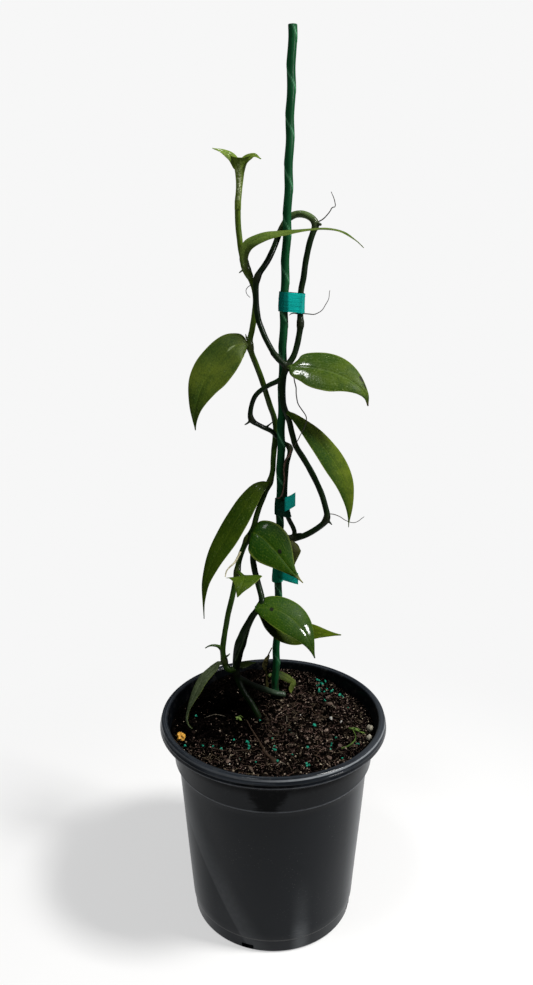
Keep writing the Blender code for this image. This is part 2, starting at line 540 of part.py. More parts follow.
def band_outline(centres, count=7):
    """Outline round one or two circles, given as (x, y, radius), as a belt lies round them."""
    if len(centres) == 1:
        x, y, radius = centres[0]
        turns = [2 * math.pi * i / (2 * count) for i in range(2 * count)]
        return [Vector((x + radius * math.cos(t), y + radius * math.sin(t))) for t in turns]
    (ax, ay, ar), (bx, by, br) = centres
    gap = Vector((bx - ax, by - ay))
    heading = math.atan2(gap.y, gap.x)
    lean = math.acos((ar - br) / gap.length)
    outline = []
    for i in range(count + 1):
        t = heading + lean + (2 * math.pi - 2 * lean) * i / count
        outline.append(Vector((ax + ar * math.cos(t), ay + ar * math.sin(t))))
    for i in range(count + 1):
        t = heading - lean + 2 * lean * i / count
        outline.append(Vector((bx + br * math.cos(t), by + br * math.sin(t))))
    return outline


def make_tie(name, mat, stake_axis):
    """A loop of tape that follows the stake and the stem it holds, with its loose end."""
    low, high, slope, held, stem = TIES[name]
    held_axis = smooth_route(held, 2.0) if held else None
    bm = bmesh.new()
    levels = []
    for i in range(TIE_LEVELS):
        z = low + (high - low) * i / (TIE_LEVELS - 1)
        spot = point_at_height(stake_axis, z) + cover_swing(z)
        reach = STAKE_RADIUS + GAP
        centres = [(spot.x, spot.y, reach)]
        if held_axis:
            near = [p for p in held_axis if abs(p.z - z) < 14 and 0 < p.x - spot.x < 20]
            other = point_at_height(near, z)
            centres.append((other.x, other.y, stem + GAP))
        else:
            shift = LOOSE_TIE_SHIFT
            centres = [(spot.x + shift[0], spot.y + shift[1], reach + math.hypot(*shift))]
        inner = band_outline(centres)
        outer = band_outline([(x, y, r + TAPE) for x, y, r in centres])
        levels.append([[bm.verts.new((p.x, p.y, z + slope * (p.x - spot.x))) for p in line]
                       for line in (inner, outer)])
    count = len(levels[0][0])
    for lower, upper in zip(levels, levels[1:]):
        for side in (0, 1):
            for i in range(count):
                j = (i + 1) % count
                bm.faces.new((lower[side][i], lower[side][j], upper[side][j], upper[side][i]))
    for inner, outer in (levels[0], levels[-1]):
        for i in range(count):
            j = (i + 1) % count
            bm.faces.new((inner[i], inner[j], outer[j], outer[i]))
    loop = from_bmesh(name, bm, mat)
    if name not in TIE_TAILS:
        return loop
    start, end = TIE_TAILS[name]
    bm = bmesh.new()
    along = (Vector(end[:2]) - Vector(start[:2])).normalized()
    side = Vector((-along.y, along.x)) * TAPE / 2
    corners = []
    for place, z in ((start, start[2]), (end, end[2]), (end, end[3]), (start, start[3])):
        spot = Vector(place[:2])
        corners.append([bm.verts.new((*(spot + s), z)) for s in (side, -side)])
    for i in range(4):
        a, b = corners[i], corners[(i + 1) % 4]
        bm.faces.new((a[0], b[0], b[1], a[1]))
    bm.faces.new([c[0] for c in corners])
    bm.faces.new([c[1] for c in reversed(corners)])
    tail = from_bmesh("tail", bm)
    tie = boolean(loop, [tail], "UNION")
    shade(tie.data)
    return tie


def blade_width(t, spec):
    """Half width of a blade at a share `t` of its length."""
    body = t ** (math.log(0.5) / math.log(spec["widest"]))
    power = spec.get("power", 0.75) if body < 0.5 else LEAF_POINT
    bulge = abs(math.sin(math.pi * body)) ** power
    return spec["half"] * bulge + LEAF_BASE * (1 - t) ** 2 + LEAF_TIP * t


def make_blade(name, spec, mat=None):
    """A leaf: a folded and cupped blade of even thickness along its midrib."""
    seat = Vector(spec["seat"])
    toward = (Vector(spec["midrib"][0]) - seat).normalized()
    first = seat + toward * (spec["stem"] + GAP + 0.35)
    rib = smooth_route((first, *spec["midrib"]), 1.0)
    picks = [rib[round(i * (len(rib) - 1) / LEAF_ALONG)] for i in range(LEAF_ALONG + 1)]
    faces = [Vector(f).normalized() for f in spec["face"]]
    bm = bmesh.new()
    rows = []
    for i, place in enumerate(picks):
        t = i / LEAF_ALONG
        ahead = picks[min(i + 1, LEAF_ALONG)] - picks[max(i - 1, 0)]
        ahead.normalize()
        k = min(int(t * (len(faces) - 1)), len(faces) - 2)
        across = ahead.cross(faces[k].lerp(faces[k + 1], t * (len(faces) - 1) - k)).normalized()
        face = across.cross(ahead)
        width = blade_width(t, spec)
        row = []
        for s in LEAF_ACROSS:
            rise = LEAF_FOLD * abs(s) - LEAF_CUP * s * s
            row.append(bm.verts.new(place + across * (width * s) + face * (width * rise)))
        rows.append(row)
    for lower, upper in zip(rows, rows[1:]):
        for i in range(len(LEAF_ACROSS) - 1):
            if i < len(LEAF_ACROSS) // 2:
                bm.faces.new((lower[i], lower[i + 1], upper[i]))
                bm.faces.new((lower[i + 1], upper[i + 1], upper[i]))
            else:
                bm.faces.new((lower[i], lower[i + 1], upper[i + 1]))
                bm.faces.new((lower[i], upper[i + 1], upper[i]))
    leaf = from_bmesh(name, bm, mat)
    solid = leaf.modifiers.new("thickness", "SOLIDIFY")
    solid.thickness = LEAF_THICK * MM
    solid.offset = 0.0
    return leaf


def main():
    """Build every piece of the plant and its pot."""
    clear_scene()
    black = make_material("pot_black", (0.012, 0.013, 0.016), 0.28)
    earth = make_material("soil_brown", (0.035, 0.022, 0.015), 0.95)
    stake_green = make_material("stake_green", (0.008, 0.10, 0.045), 0.35)
    teal = make_material("tie_teal", (0.0, 0.28, 0.24), 0.3)
    leaf_green = make_material("leaf_green", (0.055, 0.13, 0.02), 0.35)
    young_green = make_material("young_green", (0.16, 0.27, 0.05), 0.35)
    stem_green = make_material("stem_green", (0.06, 0.12, 0.03), 0.4)
    stem_dark = make_material("stem_dark", (0.014, 0.03, 0.015), 0.42)
    root_pale = make_material("root_pale", (0.55, 0.52, 0.36), 0.6)
    root_pink = make_material("root_pink", (0.34, 0.22, 0.17), 0.6)
    olive = make_material("withered_olive", (0.16, 0.17, 0.03), 0.55)
    brown = make_material("dry_brown", (0.07, 0.05, 0.03), 0.8)

    make_pot(black)
    make_stake(stake_green)
    stake_axis = smooth_route(STAKE_ROUTE, 2.0)
    for name in TIES:
        make_tie(name, teal, stake_axis)

    young_route = smooth_route(YOUNG_ROUTE, STEM_STEP)
    young = tube("vine_young", young_route, stem_radii(young_route, YOUNG_RADIUS, YOUNG_NODES),
                 STEM_SIDES, stem_green)
    young = boolean(young, twigs(YOUNG_TWIGS), "UNION")
    shade(young.data)

    old_route = smooth_route(OLD_ROUTE, STEM_STEP)
    old_radii = stem_radii(old_route, OLD_RADIUS, OLD_NODES)
    for i, place in enumerate(old_route):
        off = (place - Vector(OLD_THICK_MIDDLE)).length / OLD_THICK_REACH
        old_radii[i] += OLD_THICK_GAIN * math.exp(-off * off)
    old = tube("vine_old", old_route, old_radii, STEM_SIDES, stem_dark)
    join = smooth_route(JOIN_ROUTE, 3.0)
    loop = smooth_route(LOOP_ROUTE, STEM_STEP)
    cut = smooth_route(CUT_STEM_ROUTE, STEM_STEP)
    limbs = [
        tube("join", join, taper(join, JOIN_RADIUS, JOIN_RADIUS), 10),
        tube("loop", loop, stem_radii(loop, LOOP_RADIUS, OLD_NODES[7:9]), STEM_SIDES),
        tube("cut_stem", cut, taper(cut, CUT_STEM_RADIUS, CUT_STEM_RADIUS), STEM_SIDES),
    ]
    old = boolean(old, limbs + twigs(OLD_TWIGS), "UNION")
    shade(old.data)

    for name, (first, last, points), mat in (("root_pale", PALE_ROOT, root_pale),
                                             ("root_pink", PINK_ROOT, root_pink),
                                             ("dry_twig", DRY_TWIG, brown)):
        route = smooth_route(points, 3.0)
        tube(name, route, taper(route, first, last), 6, mat)

    for name, spec in LEAVES.items():
        young_leaf = name in ("leaf_arching", "bract_base")
        make_blade(name, spec, young_green if young_leaf else leaf_green)
    make_blade("leaf_withered", WITHERED, olive)
    bud_route = smooth_route(BUD_ROUTE, 3.0)
    bud = tube("leaves_youngest", bud_route, taper(bud_route, *BUD_RADIUS), 8, young_green)
    pair = [evaluated(make_blade("blade", spec)) for spec in YOUNGEST]
    bud = boolean(bud, pair, "UNION")
    shade(bud.data)

    holes = [make_stake(None, "hole", STAKE_WAVE + GAP,
                        ((-0.5, 51.0, 6.0 - GAP), *STAKE_ROUTE[1:3]))]
    foot = smooth_route(((-7.0, 10.0, 138.0), *OLD_ROUTE[:5]), 2.5)
    holes.append(tube("hole", foot, [OLD_RADIUS[0] + GAP + 0.1] * len(foot), STEM_SIDES))
    twig_foot = smooth_route(((-5.5, 50.0, 140.6), *DRY_TWIG[2][1:3]), 3.0)
    holes.append(tube("hole", twig_foot, [DRY_TWIG[0] + GAP + 0.1] * len(twig_foot), STEM_SIDES))
    soil = make_soil(earth, holes)
    shade(soil.data, 60.0)


main()
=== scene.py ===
"""Vanilla orchid tied to a wrapped stake in a round nursery pot, dressed for its portrait.

Tables are in millimetres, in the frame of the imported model: +Z is up, the origin is the middle
of the pot's underside and the plant's face looks along -Y. MM turns them into metres.
"""
import logging
import math
import random
from dataclasses import dataclass
from enum import Enum
from typing import Iterable, Sequence

import bpy
import numpy as np
from mathutils import Euler, Matrix, Vector, noise


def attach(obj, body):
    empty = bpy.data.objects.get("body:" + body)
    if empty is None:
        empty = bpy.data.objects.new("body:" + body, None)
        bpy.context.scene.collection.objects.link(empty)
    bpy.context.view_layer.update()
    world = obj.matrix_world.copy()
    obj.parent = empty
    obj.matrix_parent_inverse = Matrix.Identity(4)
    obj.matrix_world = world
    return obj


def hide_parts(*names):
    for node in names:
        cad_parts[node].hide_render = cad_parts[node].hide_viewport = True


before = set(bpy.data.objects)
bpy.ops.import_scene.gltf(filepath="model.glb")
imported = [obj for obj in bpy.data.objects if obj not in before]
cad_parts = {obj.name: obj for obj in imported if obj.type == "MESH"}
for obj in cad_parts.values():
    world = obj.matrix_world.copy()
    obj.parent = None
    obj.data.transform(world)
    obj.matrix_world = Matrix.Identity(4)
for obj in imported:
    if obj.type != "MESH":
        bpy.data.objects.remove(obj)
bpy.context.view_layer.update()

MM = 0.001
TAU = 2.0 * math.pi
BODY = "root"
NOISE_SEED = 7
Colour = tuple[float, float, float]
Point = tuple[float, float, float]
Span = tuple[float, float]
Window = tuple[float, float, float, float]
log = logging.getLogger("orchid")


class Slot(Enum):
    """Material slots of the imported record."""

    POT = "pot"
    SOIL = "soil"
    STAKE = "stake"
    TIE = "tie"
    LEAF = "leaf_green"
    YOUNG = "young_green"
    STEM_GREEN = "stem_green"
    STEM_DARK = "stem_dark"
    ROOT_PALE = "root_pale"
    ROOT_PINK = "root_pink"
    WITHERED = "withered"
    DRY = "dry_brown"


# Shader maths

class Sock:
    """A number socket that takes part in Python expressions."""

    def __init__(self, paint: "Paint", socket: bpy.types.NodeSocket) -> None:
        """Wrap one output socket of a material's tree."""
        self.paint = paint
        self.socket = socket

    def maths(self, operation: str, *others: "Sock | float", first: bool = True) -> "Sock":
        """Add one Math node.

        Args:
            operation: the node's operation.
            others: the other operands.
            first: True where this socket is the first operand.

        Returns:
            The node's result.
        """
        order = (self, *others) if first else (*others, self)
        return self.paint.node("ShaderNodeMath", {"operation": operation}, dict(enumerate(order)))

    def __add__(self, other: "Sock | float") -> "Sock":
        """Sum."""
        return self.maths("ADD", other)

    __radd__ = __add__

    def __sub__(self, other: "Sock | float") -> "Sock":
        """Difference."""
        return self.maths("SUBTRACT", other)

    def __rsub__(self, other: float) -> "Sock":
        """Difference from a number."""
        return self.maths("SUBTRACT", other, first=False)

    def __mul__(self, other: "Sock | float") -> "Sock":
        """Product."""
        return self.maths("MULTIPLY", other)

    __rmul__ = __mul__

    def __pow__(self, other: float) -> "Sock":
        """Power."""
        return self.maths("POWER", other)

    def __abs__(self) -> "Sock":
        """Size without its sign."""
        return self.maths("ABSOLUTE")

    def cosine(self) -> "Sock":
        """Cosine of an angle in radians."""
        return self.maths("COSINE")

    def larger(self, other: "Sock | float") -> "Sock":
        """The larger of two values."""
        return self.maths("MAXIMUM", other)

    def ease(self, low: float, high: float) -> "Sock":
        """A smooth step that is 0 at `low` and 1 at `high`, which may be the smaller one."""
        flip = float(low > high)
        return self.paint.node("ShaderNodeMapRange", {"interpolation_type": "SMOOTHSTEP"}, {
            0: self, 1: min(low, high), 2: max(low, high), 3: flip, 4: 1.0 - flip})

    def band(self, low: float, full: float, until: float, high: float) -> "Sock":
        """A soft window: 0 at `low`, 1 from `full` to `until` and 0 again at `high`."""
        return self.ease(low, full) * self.ease(high, until)


class Paint:
    """One material's node tree."""

    def __init__(self, name: str) -> None:
        """Start a material with its Principled shader."""
        self.material = bpy.data.materials.new(name)
        self.material.use_nodes = True
        self.tree = self.material.node_tree
        self.shader = self.tree.nodes["Principled BSDF"]

    def node(self, kind: str, settings: dict, inputs: dict, output: int = 0) -> Sock:
        """Add any node.

        Args:
            kind: the node's type.
            settings: its own settings, set first; "stops" fills a colour ramp.
            inputs: values or links by socket name or index.
            output: index of the output that is wanted.

        Returns:
            That output, ready for expressions.
        """
        made = self.tree.nodes.new(kind)
        for key, value in settings.items():
            if key == "stops":
                ramp = made.color_ramp
                while len(ramp.elements) < len(value):
                    ramp.elements.new(0.5)
                for element, (place, colour) in zip(ramp.elements, value):
                    element.position = place
                    element.color = (*colour, 1.0)
            else:
                setattr(made, key, value)
        for key, value in inputs.items():
            self.feed(made.inputs[key], value)
        return Sock(self, made.outputs[output])

    def feed(self, socket: bpy.types.NodeSocket, value: "Sock | float | tuple") -> None:
        """Set a socket's value or link it."""
        if isinstance(value, Sock):
            self.tree.links.new(value.socket, socket)
        elif isinstance(value, tuple) and len(value) == 3 and socket.type == "RGBA":
            socket.default_value = (*value, 1.0)
        else:
            socket.default_value = value

    def place(self) -> Sock:
        """Object coordinates in metres."""
        return self.node("ShaderNodeTexCoord", {}, {}, output=3)

    def axis(self, vector: Sock, index: int) -> Sock:
        """One coordinate of a vector."""
        return self.node("ShaderNodeSeparateXYZ", {}, {0: vector}, output=index)

    def chart(self) -> Sock:
        """The piece's own UV map."""
        return self.node("ShaderNodeUVMap", {"uv_map": "UVMap"}, {})

    def mark(self, name: str) -> Sock:
        """A number stored on the mesh's points."""
        return self.node("ShaderNodeAttribute", {"attribute_name": name}, {}, output=2)

    def stretch(self, vector: Sock, scale: Point, shift: Point = (0.0, 0.0, 0.0)) -> Sock:
        """A pattern's coordinates scaled and moved on the piece."""
        return self.node("ShaderNodeMapping", {}, {"Vector": vector, "Location": shift,
                                                   "Scale": scale})

    def clouds(self, vector: Sock, scale: float, detail: float = 2.0, rough: float = 0.5,
               twist: float = 0.0) -> Sock:
        """Soft noise from 0 to 1, with `scale` lumps a metre."""
        return self.node("ShaderNodeTexNoise", {}, {
            "Vector": vector, "Scale": scale, "Detail": detail, "Roughness": rough,
            "Distortion": twist})

    def cells(self, vector: Sock, scale: float) -> Sock:
        """Distance to the nearest of scattered points."""
        return self.node("ShaderNodeTexVoronoi", {}, {"Vector": vector, "Scale": scale})

    def mix(self, share: "Sock | float", a: "Sock | Colour", b: "Sock | Colour",
            blend: str = "MIX") -> Sock:
        """One colour laid over another by a share."""
        return self.node("ShaderNodeMix", {"data_type": "RGBA", "blend_type": blend},
                         {0: share, 6: a, 7: b}, output=2)

    def ramp(self, value: Sock, stops: Sequence[tuple[float, Colour]]) -> Sock:
        """A colour from a number."""
        return self.node("ShaderNodeValToRGB", {"stops": stops}, {0: value})

    def glow(self, colour: Colour) -> Sock:
        """Light that the surface gives off by itself."""
        return self.node("ShaderNodeEmission", {}, {"Color": colour, "Strength": 1.0})

    def surface(self, shader: Sock) -> bpy.types.Material:
        """Use this shader for the surface, and return the material."""
        self.feed(self.tree.nodes["Material Output"].inputs["Surface"], shader)
        return self.material

    def finish(self, colour: "Sock | Colour", roughness: "Sock | float", height: "Sock | None",
               **others: "Sock | float | tuple") -> bpy.types.Material:
        """Connect the shader.

        Args:
            colour: the base colour.
            roughness: how dull the surface is.
            height: relief in millimetres, or None.
            others: values or links of the shader's other sockets, with _ for each space.

        Returns:
            The finished material.
        """
        self.feed(self.shader.inputs["Base Color"], colour)
        self.feed(self.shader.inputs["Roughness"], roughness)
        if height is not None:
            bump = self.node("ShaderNodeBump", {}, {"Height": height, "Distance": MM})
            self.feed(self.shader.inputs["Normal"], bump)
        for key, value in others.items():
            self.feed(self.shader.inputs[key.replace("_", " ")], value)
        return self.material


# Finishes

@dataclass(frozen=True)
class PotFinish:
    """Thin glossy black plastic with faint moulding ripples, dust and scratches, and painted light.

    Heights and radii are in metres. Each span is where a zone starts and where it is full, and
    each window is also where it stops being full and ends.
    """

    base: Colour = (0.0036, 0.0050, 0.0072)
    cloudy: Colour = (0.0052, 0.0068, 0.0090)
    # near-black of the painted shade on the collar's front and the inner wall
    shade_black: Colour = (0.0006, 0.0008, 0.0011)
    # tone of the painted sheen on the lip's top
    pale: Colour = (0.034, 0.038, 0.044)
    # tone of the painted highlight lines under the lip and on the collar's step
    edge: Colour = (0.10, 0.105, 0.115)
    # pale tone of the painted reflections and the painted highlight on the wall
    reflection_pale: Colour = (0.090, 0.094, 0.098)
    dust: Colour = (0.06, 0.058, 0.054)
    # tone of the painted highlight along the brim
    shining: Colour = (0.32, 0.33, 0.34)
    gloss: float = 0.24
    collar: Span = (0.1262, 0.1285)
    # the collar line here and the lip line further down place painted highlight lines
    collar_line: Window = (0.1277, 0.1282, 0.1289, 0.1294)
    lip: Span = (0.1555, 0.1565)
    lip_inside: Span = (0.0768, 0.0776)
    lip_line: Window = (0.1529, 0.1533, 0.1541, 0.1546)
    # where the painted highlight along the brim lies
    brim: Window = (0.1583, 0.1588, 0.1595, 0.1599)
    foot_line: Window = (0.0106, 0.0112, 0.0119, 0.0125)
    # where the painted reflection band lies on the front left of the wall
    band: Window = (-0.0184, -0.0160, -0.0150, 0.0030)
    # where the painted highlight lies low on the front right of the wall
    foot_highlight: Window = (0.0105, 0.0190, 0.0200, 0.0285)
    # where the far right of the wall starts to be painted paler, a painted reflection
    side_reflection_span: Span = (0.05, 0.066)
    ripple: float = 0.0031

    def material(self) -> bpy.types.Material:
        """The pot's black plastic."""
        paint = Paint("pot_plastic")
        place = paint.place()
        height = paint.axis(place, 2)
        cloud = paint.clouds(place, 22.0, 4.0, 0.6)
        film = paint.clouds(place, 260.0, 5.0, 0.65)
        scratch = paint.clouds(paint.stretch(place, (190.0, 190.0, 1500.0)), 1.0, 2.0, 0.5, 0.4)
        pale_mark = scratch.ease(0.66, 0.74) * cloud.ease(0.5, 0.62)
        specks = paint.cells(place, 420.0).ease(0.16, 0.09) * cloud.ease(0.48, 0.6)
        rim_dust = height.ease(0.125, 0.16) * film.ease(0.5, 0.75)
        dusty = (specks * 0.5).larger(rim_dust * 0.22).larger(pale_mark * 0.12)
        colour = paint.mix(cloud * 0.7, self.base, self.cloudy)
        side, front = paint.axis(place, 0), paint.axis(place, 1)
        reach = (side * side + front * front) ** 0.5
        turned = paint.node("ShaderNodeCombineXYZ", {}, {0: reach * 2400.0, 1: side * 16.0,
                                                         2: front * 16.0})
        rings = paint.clouds(turned, 1.0, 2.0)
        collar = height.ease(*self.collar)
        lip = height.ease(*self.lip) * reach.ease(*self.lip_inside)
        wall = 1.0 - collar * 0.6
        # painted reflection: a pale diagonal band on the front left of the wall
        pale_band = (side + height * 0.5).band(*self.band) * front.ease(0.01, -0.01) * wall
        # painted highlight: a pale upright streak low on the front right, brightest near the foot
        foot_highlight = side.band(*self.foot_highlight) * front.ease(0.0, -0.02)
        foot_highlight = foot_highlight * (height.ease(0.075, 0.02) * 0.3 + height.ease(0.031, 0.014) * 0.5)
        colour = paint.mix(pale_band * (0.12 + film * 0.28), colour, self.reflection_pale)
        # painted reflection: the far right of the wall is painted paler
        side_reflection = side.ease(*self.side_reflection_span) * front.ease(0.03, -0.01) * wall
        colour = paint.mix(side_reflection * 0.5, colour, self.reflection_pale)
        colour = paint.mix(foot_highlight * (0.35 + scratch * 0.9), colour, self.reflection_pale)
        # painted shade: a near-black patch on the collar's front under the lip, and the inner wall
        # above the soil painted near-black
        reach_out = abs(side + 0.004) - (height - 0.130) * 0.5 + (scratch - 0.5) * 0.014
        painted_shade = reach_out.ease(0.0105, 0.0040) * front.ease(0.0, -0.02) * collar * (1.0 - lip)
        inner = reach.ease(0.0772, 0.0766) * height.ease(0.140, 0.146)
        painted_shade = painted_shade.larger(inner * 0.8)
        colour = paint.mix(painted_shade * 0.9, colour, self.shade_black)
        # painted sheen: the lip's top is painted paler, in ring streaks
        colour = paint.mix(lip * (0.12 + rings.ease(0.46, 0.62) * 0.75), colour, self.pale)
        # painted highlight: thin pale lines under the lip and on the collar's step
        edges = height.band(*self.lip_line) * reach.ease(0.0800, 0.0806)
        edges = edges.larger(height.band(*self.collar_line))
        colour = paint.mix(edges * (0.15 + film * 0.8), colour, self.edge)
        # painted highlight: a bright thin line along the brim's front, strongest at the right
        brim = height.band(*self.brim) * reach.ease(0.0798, 0.0804)
        brim = brim * (0.2 + side.ease(-0.02, 0.025) * 0.6) * front.ease(0.0, -0.03)
        colour = paint.mix(brim * (0.4 + film * 0.8), colour, self.shining)
        colour = paint.mix(height.band(*self.foot_line) * 0.5, colour, self.dust)
        colour = paint.mix(dusty, colour, self.dust)
        roughness = self.gloss + cloud * 0.10 + film * 0.06 + pale_mark * 0.18 + dusty * 0.25
        ripple = (height * (TAU / self.ripple)).cosine() * 0.0016
        relief = ripple + film * 0.008 + cloud * 0.12 - pale_mark * 0.012
        coat = (0.2 + lip * 0.12) * (1.0 - painted_shade * 0.95)
        return paint.finish(colour, roughness, relief, Coat_Weight=coat, Specular_IOR_Level=0.03,
                            Coat_Roughness=0.14, Coat_Tint=(0.80, 0.90, 1.0))


@dataclass(frozen=True)
class MottledFinish:
    """A matte or waxy surface with two tones, for soil bits, roots, twigs and stones."""

    name: str
    dark: Colour
    light: Colour
    scale: float
    roughness: float
    relief: float
    stretch: Point = (1.0, 1.0, 1.0)
    coat: float = 0.0
    low: float = 0.35
    high: float = 0.7

    def material(self) -> bpy.types.Material:
        """The two-toned material."""
        paint = Paint(self.name)
        place = paint.stretch(paint.place(), self.stretch)
        lumps = paint.clouds(place, self.scale, 4.0, 0.6)
        grain = paint.clouds(place, self.scale * 5.0, 3.0, 0.6)
        tone = paint.mark("tone")
        share = (lumps.ease(self.low, self.high) * 0.6 + tone * 0.55 + grain * 0.2) * 0.9
        colour = paint.mix(share, self.dark, self.light)
        roughness = self.roughness - 0.15 + grain * 0.3
        return paint.finish(colour, roughness, (lumps + grain * 0.4) * self.relief,
                            Coat_Weight=self.coat, Coat_Roughness=0.25, Specular_IOR_Level=0.12)


@dataclass(frozen=True)
class EarthFinish:
    """Near-black potting mix with rusty and grey-brown grains, and a painted shadow on its left."""

    black: Colour = (0.0002, 0.0002, 0.0002)
    brown: Colour = (0.0036, 0.0026, 0.0021)
    rust: Colour = (0.066, 0.046, 0.038)

    def material(self) -> bpy.types.Material:
        """The bed of soil."""
        paint = Paint("potting_mix")
        place = paint.place()
        patches = paint.clouds(place, 70.0, 3.0, 0.6)
        grains = paint.clouds(place, 520.0, 4.0, 0.7)
        chips = paint.cells(place, 640.0)
        fine = paint.clouds(place, 760.0, 4.0, 0.75)
        colour = paint.mix(grains.ease(0.38, 0.68) * 0.8, self.black, self.brown)
        # painted shadow: on the left of the bed the rusty specks fade out
        painted_shadow = paint.axis(place, 0).ease(-0.002, -0.020) * paint.axis(place, 1).ease(-0.030, -0.012)
        specks = fine.ease(0.57, 0.63) * patches.ease(0.3, 0.5) * (1.0 - painted_shadow * 0.9)
        colour = paint.mix(specks, colour, self.rust)
        roughness = 0.98 - grains * 0.4
        relief = grains * 1.1 + chips * 0.5 + patches * 0.4 + fine * 0.6
        return paint.finish(colour, roughness, relief, Specular_IOR_Level=0.0)


@dataclass(frozen=True)
class GrainFinish:
    """Loose crumbs and bark of the potting mix, each with a tone of its own."""

    name: str = "crumbs"
    stops: tuple[tuple[float, Colour], ...] = (
        (0.0, (0.0002, 0.0002, 0.0002)), (0.45, (0.0016, 0.0011, 0.0009)),
        (0.62, (0.010, 0.0068, 0.0056)), (0.78, (0.056, 0.038, 0.031)),
        (0.92, (0.135, 0.097, 0.079)), (1.0, (0.32, 0.25, 0.20)))
    olive: float = 0.45
    roughness: float = 0.8

    def material(self) -> bpy.types.Material:
        """The crumbs' material."""
        paint = Paint(self.name)
        place = paint.place()
        grains = paint.clouds(place, 900.0, 3.0, 0.65)
        tone = paint.mark("tone") + (grains - 0.5) * 0.45
        colour = paint.ramp(tone, self.stops)
        hue = paint.clouds(place, 190.0, 2.0).ease(0.42, 0.6) * self.olive
        colour = paint.mix(hue, colour, (0.78, 1.0, 0.72), "MULTIPLY")
        return paint.finish(colour, self.roughness - 0.2 + grains * 0.35, grains * 0.35,
                            Specular_IOR_Level=0.0)


@dataclass(frozen=True)
class StakeFinish:
    """Bottle-green plastic wound round the stake, paler along its seam."""

    deep: Colour = (0.0035, 0.030, 0.0105)
    green: Colour = (0.008, 0.080, 0.025)
    pale_band: Colour = (0.11, 0.33, 0.17)
    soiled: Colour = (0.012, 0.009, 0.006)

    def material(self) -> bpy.types.Material:
        """The stake's cover."""
        paint = Paint("stake_cover")
        place = paint.place()
        height = paint.axis(place, 2)
        cloud = paint.clouds(paint.stretch(place, (1.0, 1.0, 0.25)), 260.0, 3.0, 0.55)
        fine = paint.clouds(paint.stretch(place, (1.0, 1.0, 0.15)), 1400.0, 3.0, 0.6)
        seam = paint.mark("seam")
        upper = height.ease(0.30, 0.52) * 0.4 + height.ease(0.25, 0.19) * 0.7
        colour = paint.mix(cloud.ease(0.35, 0.7) * 0.35 + upper, self.deep, self.green)
        colour = paint.mix(seam * (0.45 + fine * 0.8), colour, self.pale_band)
        dirt = height.ease(0.2, 0.155) * cloud.ease(0.42, 0.6)
        colour = paint.mix(dirt * 0.8, colour, self.soiled)
        roughness = 0.3 + cloud * 0.16 + dirt * 0.3 - seam * 0.06
        return paint.finish(colour, roughness, cloud * 0.12 + fine * 0.035 + seam * 0.1,
                            Coat_Weight=0.04, Coat_Roughness=0.2, Specular_IOR_Level=0.04)


@dataclass(frozen=True)
class TapeFinish:
    """Stretchy plastic tape, dark on the stake's side and below a sloping hem, with a painted shade
    toward its far end.
    """

    name: str
    bright: Colour
    dark: Colour
    edge: float
    shade: float = 1.0
    far_shade: float = 0.0
    hem: float = 0.0
    hem_slope: float = 0.56
    crease: Colour = (0.01, 0.42, 0.37)

    def material(self) -> bpy.types.Material:
        """The tape's material; `edge` is the x in millimetres where it turns bright, and below
        the sloping line that starts at height `hem` it is dark."""
        paint = Paint(self.name)
        place = paint.place()
        cloud = paint.clouds(paint.stretch(place, (1.0, 1.0, 3.2)), 150.0, 4.0, 0.6)
        creases = paint.clouds(paint.stretch(place, (0.35, 0.35, 2.4)), 620.0, 3.0, 0.6)
        side = paint.axis(place, 0)
        share = side.ease((self.edge + 1.1) * MM, (self.edge - 0.9) * MM)
        below = paint.axis(place, 2) - side * self.hem_slope
        share = share.larger(below.ease((self.hem + 0.5) * MM, (self.hem - 0.5) * MM)) * self.shade
        # painted shade: past 15 mm in x the tape darkens toward its far end, where it curves away
        # from the light
        share = share + side.ease(0.0150, 0.0205) * self.far_shade
        colour = paint.mix(share * 0.85 + cloud * 0.12, self.bright, self.dark)
        colour = paint.mix(creases.ease(0.58, 0.74) * 0.2, colour, self.crease)
        roughness = 0.28 + cloud * 0.14
        shine = 1.0 - share.maths("MINIMUM", 1.0) * 0.8
        return paint.finish(colour, roughness, creases * 0.22 + cloud * 0.12,
                            Coat_Weight=shine * 0.15, Coat_Roughness=0.12,
                            Specular_IOR_Level=shine * 0.1)


